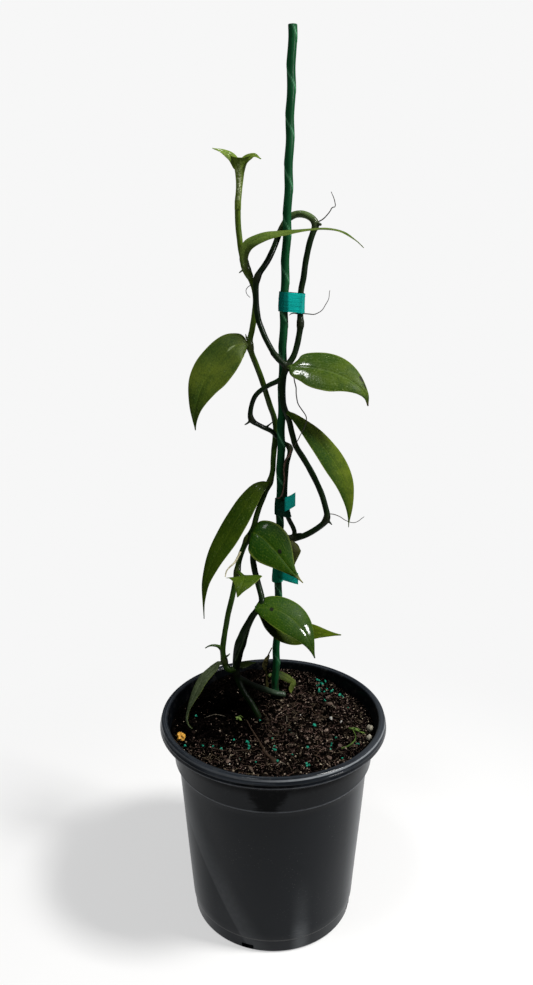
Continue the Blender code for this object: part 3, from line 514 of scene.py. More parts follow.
@dataclass(frozen=True)
class StemFinish:
    """A fleshy stem: mottled green with dull scars at its nodes, and a painted highlight along its
    crease.
    """

    name: str
    low: Colour
    high: Colour
    mottle: Colour
    rise: Span
    scar: Colour = (0.05, 0.042, 0.014)
    # tone of the painted highlight along the crease
    crease_highlight: Colour = (0.06, 0.095, 0.045)
    foot_tint: Colour = (0.034, 0.055, 0.034)
    gloss: float = 0.3
    foot: float = 0.0

    def material(self) -> bpy.types.Material:
        """The stem's material, which turns from `low` to `high` between two heights."""
        paint = Paint(self.name)
        place = paint.place()
        height = paint.axis(place, 2)
        mottles = paint.clouds(paint.stretch(place, (1.0, 1.0, 0.3)), 330.0, 4.0, 0.6)
        lines = paint.clouds(paint.stretch(place, (1.0, 1.0, 0.06)), 1500.0, 2.0, 0.5)
        grain = paint.clouds(place, 2400.0, 3.0, 0.6)
        node = paint.mark("node")
        bright = height.ease(self.rise[0] * MM, self.rise[1] * MM)
        colour = paint.mix(bright, self.low, self.high)
        colour = paint.mix(mottles.ease(0.42, 0.7) * 0.55, colour, self.mottle)
        colour = paint.mix(node * (0.2 + mottles * 0.5), colour, self.scar)
        # painted highlight: a pale line along the crease on the front of the thick old stem
        colour = paint.mix(paint.mark("crease") * 0.8, colour, self.crease_highlight)
        foot = height.ease(0.175, 0.165) * paint.axis(place, 1).ease(0.016, 0.024) * self.foot
        colour = paint.mix(foot * (0.4 + mottles * 0.8), colour, self.foot_tint)
        roughness = self.gloss + mottles * 0.14 + node * 0.2
        relief = lines * 0.16 + mottles * 0.14 + grain * 0.02 + node * mottles * 0.3
        return paint.finish(colour, roughness, relief, Coat_Weight=0.12, Coat_Roughness=0.12,
                            Specular_IOR_Level=0.08)


@dataclass(frozen=True)
class LeafFinish:
    """Waxy leaf with parallel veins, tinted patches, pale specks and a few spots.

    `size` is the blade's half width and length in mm. `spots` are (across -1..1, along 0..1,
    radius in mm), and the pale marks of `glint_marks` are painted highlights, each (across, along,
    half width and half length in mm). The coat shines only past `wet`, two shares of the blade's
    length, and on the side of the blade past `wet_from`. The blade is `dry` over its last share
    `tip`, and its margin is pale past `rim`, partly a painted highlight on the edge.
    """

    name: str
    size: Span
    deep: Colour = (0.012, 0.036, 0.0012)
    fresh: Colour = (0.055, 0.086, 0.0030)
    vein: Colour = (0.090, 0.130, 0.0100)
    under: Colour = (0.050, 0.080, 0.008)
    # tone of the pale margin, partly a painted highlight on the edge
    edge: Colour = (0.15, 0.19, 0.03)
    dark_cell: Colour = (0.006, 0.020, 0.001)
    speck: Colour = (0.16, 0.20, 0.07)
    spot: Colour = (0.005, 0.004, 0.003)
    # tone of the painted highlights given as pale marks
    pale_mark: Colour = (0.22, 0.27, 0.13)
    # tone of the painted highlight down the young neck
    shiny: Colour = (0.86, 0.92, 0.62)
    vein_pairs: float = 7.5
    tint: float = 0.5
    tint_side: float = 0.0
    specks: float = 0.3
    gloss: float = 0.36
    coat: float = 0.05
    shine: float = 0.05
    rise: float = 0.0
    wet: Span = (0.0, 0.01)
    wet_from: float = -2.0
    mottle: float = 0.4
    spots: tuple[Point, ...] = ()
    glint_marks: tuple[Window, ...] = ()
    tip: float = 0.0
    dry: Colour = (0.09, 0.06, 0.02)
    rim: float = 0.93
    seed: float = 0.0

    def material(self) -> bpy.types.Material:
        """The leaf's material."""
        paint = Paint(self.name)
        place = paint.stretch(paint.place(), (1.0, 1.0, 1.0), (self.seed, self.seed, 0.0))
        chart = paint.chart()
        across = paint.axis(chart, 0) * 2.0 - 1.0
        along = paint.axis(chart, 1)
        away = abs(across)
        below = paint.mark("under")
        patches = paint.clouds(place, 48.0, 3.0, 0.55)
        blotches = paint.clouds(place, 150.0, 4.0, 0.6)
        cells = paint.clouds(place, 850.0, 4.0, 0.65)
        pores = paint.cells(place, 1100.0)
        streaks = paint.clouds(paint.stretch(chart, (38.0, 2.6, 1.0), (self.seed, 0.0, 0.0)), 1.0,
                               3.0, 0.6)
        share = patches.ease(0.25, 0.8) * 0.6 + across * self.tint_side + streaks * 0.4 - 0.1
        share = share + (along - 0.5) * self.rise
        colour = paint.mix((share * (self.tint * 2.0)).maths("MINIMUM", 1.0).larger(0.0),
                           self.deep, self.fresh)
        colour = paint.mix(blotches.ease(0.48, 0.66) * self.mottle, colour, self.deep)
        lines = ((across * (TAU * self.vein_pairs)).cosine() * 0.5 + 0.5) ** 10.0
        veins = lines * (away.ease(0.0, 0.12) * along.ease(0.0, 0.06))
        colour = paint.mix(veins * (0.04 + streaks * 0.16), colour, self.vein)
        colour = paint.mix(away.ease(0.075, 0.02) * 0.2, colour, self.vein)
        # the blade's margin is painted pale: partly its own paler rim, partly a painted highlight on
        # the edge
        colour = paint.mix(away.ease(self.rim, 0.985) * 0.6, colour, self.edge)
        colour = paint.mix(cells.ease(0.5, 0.68) * 0.3, colour, self.vein)
        colour = paint.mix(cells.ease(0.46, 0.32) * 0.5, colour, self.dark_cell)
        dots = paint.cells(place, 420.0).ease(0.2, 0.1) * blotches.ease(0.4, 0.6)
        colour = paint.mix(dots * self.specks, colour, self.speck)
        blots = [(x, y, r, r, (blotches - 0.5) * 1.2, 0.5, 0.9, self.spot) for x, y, r in self.spots]
        # painted highlight: the pale marks, such as the streak near the upper left leaf's base
        blots += [(*pale_mark, (cells - 0.5) * 1.4, 0.4, 0.6, self.pale_mark) for pale_mark in self.glint_marks]
        for x, y, wide, long, ragged, full, strength, tone in blots:
            dx = (across - x) * (self.size[0] / wide)
            dy = (along - y) * (self.size[1] / long)
            colour = paint.mix((dx * dx + dy * dy + ragged).ease(1.3, full) * strength, colour, tone)
        if self.tip > 0.0:
            end = (along + (blotches - 0.5) * 0.03).ease(1.0 - self.tip, 1.0)
            colour = paint.mix(end * 0.85, colour, self.dry)
        colour = paint.mix(below, colour, paint.mix(patches * 0.5, self.under, self.deep))
        roughness = self.gloss + blotches * 0.12 + below * 0.15 + cells * 0.05
        relief = cells * 0.10 + pores * 0.05 - veins * 0.03 + streaks * 0.05 + blotches * 0.08
        # painted highlight: a pale streak down the young neck, placed by a mark on the funnel
        wax = paint.mark("wax")
        colour = paint.mix(wax * (0.12 + cells.ease(0.48, 0.56)), colour, self.shiny)
        coat = along.ease(*self.wet) * (cells + pores * 0.5).ease(0.62, 0.78) * self.coat
        coat = coat * across.ease(self.wet_from - 0.2, self.wet_from)
        return paint.finish(colour, roughness, relief, Coat_Weight=coat,
                            Coat_Roughness=0.10, Specular_IOR_Level=self.shine)


# Work on meshes

def clamp(value: float) -> float:
    """The value, kept from 0 to 1."""
    return min(max(value, 0.0), 1.0)


def circle(sides: int) -> list[Point]:
    """Angle, cosine and sine of each corner of a round row, whose last one is its first."""
    turns = [TAU * (i % sides) / sides for i in range(sides + 1)]
    return [(turn, math.cos(turn), math.sin(turn)) for turn in turns]


def pose(place: Point, turn: Point, size: Point) -> Matrix:
    """The matrix that lays a small model somewhere."""
    turned = Matrix.Translation(place) @ Euler(turn).to_matrix().to_4x4()
    return turned @ Matrix.Diagonal((*size, 1.0))


def deselect() -> None:
    """Leave edit mode and deselect everything."""
    if bpy.context.object is not None and bpy.context.object.mode != "OBJECT":
        bpy.ops.object.mode_set(mode="OBJECT")
    bpy.ops.object.select_all(action="DESELECT")


def choose(*objects: bpy.types.Object) -> None:
    """Select these objects, the first of them active."""
    deselect()
    for obj in objects:
        obj.select_set(True)
    bpy.context.view_layer.objects.active = objects[0]


def name_it(obj: bpy.types.Object, name: str) -> bpy.types.Object:
    """Name an object and its mesh."""
    obj.name = name
    obj.data.name = name
    return obj


def smooth(obj: bpy.types.Object, degrees: float = 40.0) -> None:
    """Shade an object smooth, with its real corners kept."""
    choose(obj)
    bpy.ops.object.shade_smooth_by_angle(angle=math.radians(degrees))


def apply(obj: bpy.types.Object, kind: str, **settings: object) -> None:
    """Add a modifier, set it and apply it."""
    choose(obj)
    mod = obj.modifiers.new(kind.lower(), kind)
    for key, value in settings.items():
        setattr(mod, key, value)
    bpy.ops.object.modifier_apply(modifier=mod.name)


def join(name: str, objects: Sequence[bpy.types.Object]) -> bpy.types.Object:
    """Join objects into one of this name."""
    choose(*objects)
    bpy.ops.object.join()
    return name_it(bpy.context.object, name)


def lay_grid(name: str, places: np.ndarray, uv: "np.ndarray | None" = None,
             marks: "dict[str, np.ndarray] | None" = None) -> bpy.types.Object:
    """Lay a flat grid over a table of places, and close it where its edges meet.

    Args:
        name: the new object's name.
        places: rows by columns of points in millimetres.
        uv: the map's value at each point, if the finish needs one.
        marks: numbers to store on the points, by name.

    Returns:
        The closed mesh, with its faces pointing out.
    """
    rows, columns = places.shape[:2]
    deselect()
    bpy.ops.mesh.primitive_grid_add(x_subdivisions=columns - 1, y_subdivisions=rows - 1, size=1.0)
    obj = name_it(bpy.context.object, name)
    mesh = obj.data
    mesh.vertices.foreach_set("co", (places * MM).astype(np.float32).ravel())
    if uv is not None:
        corners = np.empty(len(mesh.loops), dtype=np.int32)
        mesh.loops.foreach_get("vertex_index", corners)
        flat = uv.reshape(-1, 2)[corners].astype(np.float32)
        mesh.uv_layers["UVMap"].data.foreach_set("uv", flat.ravel())
    for key, values in (marks or {}).items():
        mesh.attributes.new(key, "FLOAT", "POINT").data.foreach_set(
            "value", values.astype(np.float32).ravel())
    mesh.update()
    choose(obj)
    bpy.ops.object.mode_set(mode="EDIT")
    bpy.ops.mesh.select_all(action="SELECT")
    bpy.ops.mesh.remove_doubles(threshold=0.000002)
    bpy.ops.mesh.normals_make_consistent(inside=False)
    bpy.ops.object.mode_set(mode="OBJECT")
    return obj


def smooth_route(points: Sequence[Point], step: float) -> list[Vector]:
    """Points about `step` apart on a smooth curve through the given ones."""
    pts = [Vector(p) for p in points]
    pts = [pts[0] * 2 - pts[1]] + pts + [pts[-1] * 2 - pts[-2]]
    fine: list[Vector] = []
    for a, b, c, d in zip(pts, pts[1:], pts[2:], pts[3:]):
        reach = (c - b).length
        left = b + (c - a).normalized() * reach / 3
        right = c - (d - b).normalized() * reach / 3
        for i in range(12):
            t = i / 12
            s = 1 - t
            fine.append(b * s ** 3 + left * 3 * s * s * t + right * 3 * s * t * t + c * t ** 3)
    fine.append(pts[-2])
    return even_route(fine, step)


def even_route(fine: Sequence[Vector], step: float) -> list[Vector]:
    """Points an even distance apart along a chain of points."""
    lengths = [0.0]
    for a, b in zip(fine, fine[1:]):
        lengths.append(lengths[-1] + (b - a).length)
    count = max(2, round(lengths[-1] / step))
    result = []
    k = 0
    for i in range(count + 1):
        goal = lengths[-1] * i / count
        while k < len(fine) - 2 and lengths[k + 1] < goal:
            k += 1
        part = (goal - lengths[k]) / max(lengths[k + 1] - lengths[k], 1e-9)
        result.append(fine[k].lerp(fine[k + 1], clamp(part)))
    return result


def point_at_height(points: Sequence[Vector], height: float) -> Vector:
    """The first point of a route at a height, measured from its last point down."""
    back = list(reversed(points))
    for b, a in zip(back, back[1:]):
        if min(a.z, b.z) <= height <= max(a.z, b.z) and abs(a.z - b.z) > 1e-6:
            return a.lerp(b, (height - a.z) / (b.z - a.z))
    raise ValueError("no point at this height")


def sweep(name: str, route: Sequence[Vector], radii: Sequence[float], sides: int,
          dome: float = 0.6, rough: float = 0.0, seed: float = 0.0) -> bpy.types.Object:
    """A closed tube along a route with rounded ends.

    Args:
        name: the object's name.
        route: points on the axis.
        radii: the tube's radius at each point.
        sides: faces round the tube.
        dome: how far each end bulges, as a share of its radius.
        rough: how much the radius wanders, as a share of it.
        seed: picks the wandering.

    Returns:
        The tube.
    """
    def cap(end: Vector, inner: Vector, radius: float) -> list[tuple[Vector, float]]:
        """Rows of a rounded end, from the tube out to the tip."""
        out = (end - inner).normalized()
        turns = [math.radians(degrees) for degrees in (30.0, 60.0, 90.0)]
        return [(end + out * radius * dome * math.sin(a), radius * math.cos(a)) for a in turns]

    start = cap(route[0], route[1], radii[0])[::-1]
    spots = [*start, *zip(route, radii), *cap(route[-1], route[-2], radii[-1])]
    around = circle(sides)
    table = np.empty((len(spots), len(around), 3))
    ahead = (route[1] - route[0]).normalized()
    side = ahead.orthogonal().normalized()
    for row, (place, radius) in enumerate(spots):
        k = min(max(row - len(start), 0), len(route) - 1)
        new = (route[min(k + 1, len(route) - 1)] - route[max(k - 1, 0)]).normalized()
        side = ahead.rotation_difference(new) @ side
        ahead = new
        side = (side - ahead * side.dot(ahead)).normalized()
        other = ahead.cross(side)
        for i, (_, cos, sin) in enumerate(around):
            grain = noise.noise(Vector((cos * 0.9 + seed, sin * 0.9, k * 0.23 + seed)))
            table[row, i] = place + (side * cos + other * sin) * (radius * (1.0 + rough * grain))
    return lay_grid(name, table)


def taper(route: Sequence[Vector], first: float, last: float) -> list[float]:
    """Radii that go evenly from the first to the last."""
    steps = len(route) - 1
    return [first + (last - first) * i / steps for i in range(steps + 1)]


def strand(name: str, points: Sequence[Point], step: float, first: float, last: float,
           sides: int, dome: float = 0.6, rough: float = 0.0, seed: float = 0.0) -> bpy.types.Object:
    """A tube through the points that tapers evenly, with rows about `step` apart."""
    route = smooth_route(points, step)
    return sweep(name, route, taper(route, first, last), sides, dome, rough, seed)


def store(obj: bpy.types.Object, name: str, values: Iterable[float]) -> None:
    """Store one number a point on an object's mesh."""
    mesh = obj.data
    slot = mesh.attributes.get(name) or mesh.attributes.new(name, "FLOAT", "POINT")
    slot.data.foreach_set("value", np.asarray(list(values), dtype=np.float32))


def copies(name: str, models: Sequence[bpy.types.Object], poses: Sequence[Matrix],
           tones: Sequence[float]) -> bpy.types.Object:
    """Lay copies of a few small models, in turn, and join them as one piece.

    Args:
        name: the piece's name.
        models: small objects at the origin in millimetres, which are removed afterwards.
        poses: each copy's place, turn and size.
        tones: each copy's own shade from 0 to 1.

    Returns:
        The piece.
    """
    points: list[np.ndarray] = []
    faces: list[tuple[int, ...]] = []
    shades: list[np.ndarray] = []
    start = 0
    shapes = []
    for model in models:
        co = np.empty(len(model.data.vertices) * 3, dtype=np.float32)
        model.data.vertices.foreach_get("co", co)
        shapes.append((co.reshape(-1, 3), [tuple(p.vertices) for p in model.data.polygons]))
    for number, (pose, tone) in enumerate(zip(poses, tones)):
        co, polys = shapes[number % len(shapes)]
        turn = np.array(pose.to_3x3())
        points.append(co @ turn.T + np.array(pose.translation))
        faces += [tuple(i + start for i in poly) for poly in polys]
        shades.append(np.full(len(co), tone))
        start += len(co)
    mesh = bpy.data.meshes.new(name)
    mesh.from_pydata((np.concatenate(points) * MM).tolist(), [], faces)
    mesh.update()
    obj = bpy.data.objects.new(name, mesh)
    bpy.context.scene.collection.objects.link(obj)
    store(obj, "tone", np.concatenate(shades))
    for model in models:
        bpy.data.objects.remove(model, do_unlink=True)
    return obj


def pebble(seed: float, detail: int, wobble: float) -> bpy.types.Object:
    """A rough unit lump in millimetres, as a model for copies."""
    deselect()
    bpy.ops.mesh.primitive_ico_sphere_add(subdivisions=detail, radius=1.0)
    obj = bpy.context.object
    for vert in obj.data.vertices:
        push = noise.noise(vert.co * 1.6 + Vector((seed, seed * 2.0, 0.0)))
        vert.co *= 1.0 + wobble * push
    return obj


def dress(obj: bpy.types.Object, finish: bpy.types.Material,
          nodes: Sequence[str] = (), degrees: float = 40.0) -> bpy.types.Object:
    """Give a piece its finish, let it ride on the plant and hide the nodes it stands for."""
    if not obj.data.materials:
        obj.data.materials.append(finish)
    smooth(obj, degrees)
    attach(obj, BODY)
    if nodes:
        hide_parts(*nodes)
    log.info("%s: %d faces", obj.name, len(obj.data.polygons))
    return obj


# The pieces

@dataclass
class Pot:
    """Turned plastic pot with a rolled lip, a stepped collar and drain slots round the foot."""

    sides: int = 168
    row_step: float = 6.0
    warp: float = 0.22
    warp_inside: float = 76.0
    warp_fade: float = 6.0
    warp_rise: float = 20.0
    floor_radius: float = 56.0
    corner: float = 0.42
    drain_count: int = 4
    drain_size: Point = (6.4, 9.0, 4.2)
    drain_radius: float = 58.8
    drain_sill: float = 0.9
    drain_turn: float = -18.0
    section: tuple[tuple[float, float], ...] = (
        (0.0, 2.4), (57.2, 2.4), (58.5, 3.8), (68.3, 126.5), (70.9, 129.0),
        (72.1, 146.6), (75.5, 149.4), (76.4, 158.8), (77.3, 160.0), (80.5, 160.3), (81.2, 159.6),
        (81.75, 157.1), (81.95, 156.9), (82.05, 156.3), (81.9, 156.0), (82.5, 153.8), (82.0, 153.2),
        (80.6, 154.2), (79.6, 158.2), (77.7, 157.9), (76.8, 148.7),
        (75.6, 147.9), (73.8, 146.9), (73.6, 146.2), (72.3, 129.6), (72.4, 128.4), (71.9, 127.6),
        (69.7, 126.6), (61.3, 11.4), (60.6, 10.8), (59.9, 1.2), (58.7, 0.0), (53.0, 0.0),
        (51.8, 1.0), (47.2, 1.0), (46.0, 0.0), (0.0, 0.0))
    finish: PotFinish = PotFinish()

    def fine_section(self) -> list[Vector]:
        """The section with rounded corners and extra rows on its long walls."""
        pts = [Vector((r, z)) for r, z in self.section]
        line = [pts[0]]
        for a, b, c in zip(pts, pts[1:], pts[2:]):
            cut = min(self.corner, 0.4 * (b - a).length, 0.4 * (c - b).length)
            before = b + (a - b).normalized() * cut
            after = b + (c - b).normalized() * cut
            line += [before, before * 0.25 + b * 0.5 + after * 0.25, after]
        line.append(pts[-1])
        fine = [line[0]]
        for a, b in zip(line, line[1:]):
            count = max(1, round((b - a).length / self.row_step))
            fine += [a.lerp(b, (i + 1) / count) for i in range(count)]
        return fine

    def build(self) -> bpy.types.Object:
        """Turn the section round the pot's axis and cut the drain slots."""
        section, around = self.fine_section(), circle(self.sides)
        table = np.empty((len(section), len(around), 3))
        for row, spot in enumerate(section):
            hold = clamp((self.warp_inside - spot.x) / self.warp_fade) * min(
                spot.y / self.warp_rise, 1.0)
            for i, (_, cos, sin) in enumerate(around):
                warp = noise.noise(Vector((cos * 1.3, sin * 1.3, spot.y * 0.018)))
                radius = spot.x
                if spot.x > self.floor_radius:
                    radius += self.warp * warp * hold
                table[row, i] = (radius * cos, radius * sin, spot.y)
        pot = lay_grid("pot_shell", table)
        for i in range(self.drain_count):
            turn = math.radians(self.drain_turn + 360.0 * i / self.drain_count)
            reach = self.drain_radius * MM
            height = self.drain_sill * MM + self.drain_size[2] * MM / 2
            deselect()
            bpy.ops.mesh.primitive_cube_add(
                size=1.0, location=(reach * math.cos(turn), reach * math.sin(turn), height),
                rotation=(0.0, 0.0, turn))
            cutter = bpy.context.object
            cutter.scale = [s * MM for s in self.drain_size]
            bpy.ops.object.transform_apply(location=True, rotation=True, scale=True)
            apply(cutter, "BEVEL", width=0.6 * MM, segments=2)
            apply(pot, "BOOLEAN", operation="DIFFERENCE", object=cutter, solver="EXACT")
            bpy.data.objects.remove(cutter, do_unlink=True)
        return dress(pot, self.finish.material(), ("pot",), 32.0)


@dataclass
class Soil:
    """Crumbly bed of potting mix with crumbs, bark, fibres, feed prills and stones on it."""

    level: float = 149.6
    back_rise: float = 5.2
    rise_start: float = 46.0
    rise_run: float = 24.0
    bump: float = 1.1
    lump: float = 8.5
    edge: float = 74.3
    edge_low: float = 149.9
    sides: int = 220
    ring_step: float = 1.15
    side: tuple[Span, ...] = (
        (0.0, 2.7), (56.8, 2.7), (57.9, 4.2), (67.7, 126.9), (70.2, 129.3), (71.5, 147.0),
        (74.3, 149.3))
    keep_off: tuple[Point, ...] = (
        (2.0, 45.5, 4.5), (-11.0, 10.5, 4.0), (-5.5, 50.0, 3.5))
    prills: tuple[Span, ...] = (
        (-42.5, -28.5), (-49.6, -27.3), (-35.3, -32.2), (-28.8, -19.9), (-18.0, -23.6),
        (-17.1, -31.0), (-12.7, -47.4), (3.0, -46.3), (1.1, -32.2), (-0.2, -19.9), (13.5, -36.9),
        (12.2, -11.0), (-9.7, 3.5), (23.4, -49.7), (44.2, -17.4), (41.1, -29.7), (47.1, -42.8),
        (39.5, 31.6), (36.1, 52.8), (37.5, 50.0), (42.9, 59.1), (40.6, 56.5), (53.3, 39.0),
        (58.0, 22.9), (37.0, 44.5), (47.0, 47.0), (24.0, -30.0), (-24.5, -44.0), (59.5, -27.0),
        (-57.0, 12.0), (30.5, -3.0),
        (-63.1, -26.5), (-36.0, -31.4), (-17.2, -25.3), (-17.5, -29.6), (1.1, -29.0), (1.1, -33.2),
        (41.4, -25.9), (40.7, -30.8), (46.4, -42.7), (23.4, -49.0), (12.2, -10.2), (53.4, 39.9),
        (53.9, 36.9), (36.6, 60.0), (39.5, 55.2), (42.9, 58.4), (43.8, 49.0), (37.4, 47.5),
        (40.5, 46.0))
    stones: tuple[Point, ...] = ((70.6, -8.0, 2.8), (68.4, -19.6, 2.1))
    perlite: tuple[Point, ...] = (
        (43.1, 6.2, 1.2), (50.2, 2.2, 0.9), (-30.0, -50.0, 0.4), (20.5, 12.0, 0.5))
    amber: Point = (-66.4, -18.0, 3.1)
    twigs: tuple[tuple[tuple[Span, ...], float], ...] = (
        (((-19.5, 2.5), (-15.5, -9.0), (-10.9, -21.4), (-6.3, -34.0)), 0.6),
        (((-7.3, -34.0), (-3.8, -40.9), (0.6, -47.0)), 1.5),
        (((-29.2, -35.3), (-23.3, -34.0), (-18.1, -34.1)), 0.45),
        (((28.0, 20.0), (33.0, 12.0), (37.0, 9.0)), 0.4),
        (((6.0, 23.0), (12.0, 26.0), (19.0, 27.0)), 0.5))
    hairs: tuple[Window, ...] = (
        (-43.3, 9.0, 0.1, 7.5), (10.2, 6.5, 1.6, 4.0), (-29.7, -41.5, 1.2, 2.4),
        (46.0, 21.5, 2.6, 2.2), (5.0, -52.0, 0.2, 3.0))
    sprigs: tuple[tuple[tuple[Point, ...], float], ...] = (
        (((47.9, -31.5, 0.6), (52.3, -31.4, 1.8), (55.9, -28.2, 2.4), (58.3, -23.2, 2.8),
          (58.5, -17.0, 3.0), (57.1, -11.2, 2.8), (55.3, -9.6, 2.2)), 0.62),
        (((55.0, -9.4, 2.2), (59.3, -12.6, 3.2), (62.3, -14.6, 3.4), (65.8, -16.0, 2.6)), 0.7),
        (((56.0, -9.8, 2.4), (60.0, -9.6, 3.0), (63.0, -11.4, 2.6)), 0.4),
        (((-27.0, 3.5, 1.2), (-25.0, 6.0, 2.6), (-22.5, 6.8, 1.4)), 0.6),
        (((-2.6, 62.0, 1.0), (-1.8, 63.5, 2.0), (-0.8, 63.0, 1.0)), 1.1))
    leaflets: tuple[Window, ...] = (
        (60.6, -12.0, 3.6, -0.4), (64.0, -15.0, 3.2, -0.3), (57.6, -10.4, 3.0, 0.5),
        (-26.2, 4.6, 2.2, 0.3), (-24.4, 3.4, 1.8, 2.2))
    crumb_count: int = 9400
    lump_count: int = 110
    bark_count: int = 220
    fibre_count: int = 900

    def top(self, x: float, y: float) -> float:
        """Height of the surface at a place, as the solid has it."""
        climb = clamp((y - self.rise_start) / self.rise_run)
        climb = climb * climb * (3 - 2 * climb)
        lumps = noise.noise(Vector((x / self.lump, y / self.lump, 0.7)))
        fine = noise.noise(Vector((x / 3.7, y / 3.7, 4.1)))
        return self.level + self.back_rise * climb + self.bump * (lumps + 0.45 * fine)

    def crumbly(self, x: float, y: float) -> float:
        """The surface with its small crumbs."""
        small = noise.noise(Vector((x / 1.9, y / 1.9, 9.3)))
        tiny = noise.noise(Vector((x / 0.95, y / 0.95, 2.2)))
        height = self.top(x, y) + 0.75 * small + 0.4 * tiny
        if math.hypot(x, y) > self.edge - 1.0:
            return max(height, self.edge_low)
        return height

    def painted_shadow(self, x: float, y: float) -> float:
        """How deep the painted shadow on the mix is at a place, from 0 to 1."""
        return clamp((-1.0 - x) / 16.0) * clamp((y + 32.0) / 18.0)

    def bed(self) -> bpy.types.Object:
        """The body of soil."""
        count = round(self.edge / self.ring_step)
        rings = [*self.side, *((self.edge * (1 - i / count), None) for i in range(count + 1))]
        around = circle(self.sides)
        table = np.empty((len(rings), len(around), 3))
        for row, (radius, level) in enumerate(rings):
            for i, (_, cos, sin) in enumerate(around):
                x, y = radius * cos, radius * sin
                table[row, i] = (x, y, self.crumbly(x, y) if level is None else level)
        bed = lay_grid("soil_bed", table)
        return dress(bed, EarthFinish().material(), ("soil",), 60.0)

    def chance_spot(self, rng: random.Random, reach: float) -> Span:
        """A place drawn evenly from the surface within a radius."""
        radius = reach * math.sqrt(rng.random())
        turn = rng.uniform(0.0, TAU)
        return radius * math.cos(turn), radius * math.sin(turn)

    def scatter(self, rng: random.Random, count: int, reach: float, low: float, high: float,
                flat: float, bury: float) -> tuple[list[Matrix], list[float]]:
        """Places and shades for small bits on the surface.

        Args:
            rng: the source of chance.
            count: how many bits.
            reach: farthest radius from the pot's axis.
            low: smallest size.
            high: largest size.
            flat: least thickness as a share of the size.
            bury: how deep a bit sits, as a share of its size.

        Returns:
            The poses and the shades.
        """
        poses: list[Matrix] = []
        tones: list[float] = []
        while len(poses) < count:
            x, y = self.chance_spot(rng, reach)
            if any(math.hypot(x - a, y - b) < r for a, b, r in self.keep_off):
                continue
            size = low + (high - low) * rng.random() ** 2.2
            scale = [size * rng.uniform(*reach) for reach in ((0.7, 1.3), (0.6, 1.1), (flat, 1.0))]
            tilt = [rng.uniform(*reach) for reach in ((-0.5, 0.5), (-0.5, 0.5), (0.0, TAU))]
            height = self.crumbly(x, y) + size * (0.35 - bury)
            poses.append(pose((x, y, height), tilt, scale))
            # painted shadow: bits on the left of the bed get darker tones
            tones.append(rng.random() ** (1.25 + 9.0 * self.painted_shadow(x, y)))
        return poses, tones

    def crumbs(self, rng: random.Random) -> None:
        """Loose crumbs and larger lumps."""
        finish = GrainFinish().material()
        poses, tones = self.scatter(rng, self.crumb_count, self.edge - 1.6, 0.28, 0.95, 0.5, 0.0)
        models = [pebble(i * 3.1, 1, 0.5) for i in range(5)]
        dress(copies("soil_crumbs", models, poses, tones), finish, (), 70.0)
        poses, tones = self.scatter(rng, self.lump_count, self.edge - 3.0, 0.9, 2.5, 0.45, 0.2)
        tones = [t * 0.92 for t in tones]
        models = [pebble(i * 5.7 + 1.0, 2, 0.8) for i in range(6)]
        dress(copies("soil_lumps", models, poses, tones), finish, (), 50.0)

    def chip(self, seed: int) -> bpy.types.Object:
        """One splinter of bark as a model for copies."""
        deselect()
        bpy.ops.mesh.primitive_cube_add(size=2.0)
        obj = bpy.context.object
        bpy.ops.object.mode_set(mode="EDIT")
        bpy.ops.mesh.select_all(action="SELECT")
        bpy.ops.mesh.bevel(offset=0.35, segments=1)
        bpy.ops.object.mode_set(mode="OBJECT")
        for vert in obj.data.vertices:
            push = Vector(noise.noise_vector(vert.co * 0.9 + Vector((seed * 4.3, 0.0, 0.0))))
            vert.co += push * 0.45
            vert.co.x *= 1.5 - 0.35 * abs(vert.co.y)
            vert.co.z *= 0.42
        return obj

    def bark(self, rng: random.Random) -> None:
        """Splinters of bark that lie on the crumbs."""
        poses, tones = self.scatter(rng, self.bark_count, self.edge - 3.5, 0.5, 1.9, 0.5, -0.05)
        tones = [min(0.84, t * 0.9 + 0.1) for t in tones]
        models = [self.chip(i) for i in range(6)]
        finish = GrainFinish("bark", roughness=0.72).material()
        dress(copies("soil_bark", models, poses, tones), finish, (), 30.0)

    def fibre(self, seed: int) -> bpy.types.Object:
        """One curled fibre as a model for copies."""
        rng = random.Random(seed)
        points = [(-4.0 + 2.0 * i, rng.uniform(-0.7, 0.7), rng.uniform(-0.15, 0.35))
                  for i in range(5)]
        obj = strand("fibre", points, 1.3, 0.14, 0.14, 4, 0.8)
        for vert in obj.data.vertices:
            vert.co /= MM
        return obj

    def fibres(self, rng: random.Random) -> None:
        """Rusty fibres of coir and root, thin and curled."""
        poses: list[Matrix] = []
        tones: list[float] = []
        while len(poses) < self.fibre_count:
            x, y = self.chance_spot(rng, self.edge - 7.0)
            # painted shadow: few fibres lie on the left of the bed, so it stays black
            if rng.random() < 0.96 * self.painted_shadow(x, y):
                continue
            size = rng.uniform(0.25, 0.85)
            tilt = [rng.uniform(*reach) for reach in ((-0.2, 0.2), (-0.22, 0.22), (0.0, TAU))]
            height = self.top(x, y) + rng.uniform(0.5, 1.3)
            thick = rng.uniform(0.6, 1.1)
            poses.append(pose((x, y, height), tilt, (size, thick, thick)))
            tones.append(rng.choice((0.15, 0.35, 0.6, 0.8, 0.9)))
        models = [self.fibre(i + 11) for i in range(8)]
        stops = ((0.0, (0.003, 0.0020, 0.0016)), (0.5, (0.018, 0.011, 0.009)),
                 (0.8, (0.085, 0.050, 0.041)), (1.0, (0.20, 0.135, 0.11)))
        finish = GrainFinish("fibres", stops, 0.75).material()
        dress(copies("soil_fibres", models, poses, tones), finish, (), 60.0)

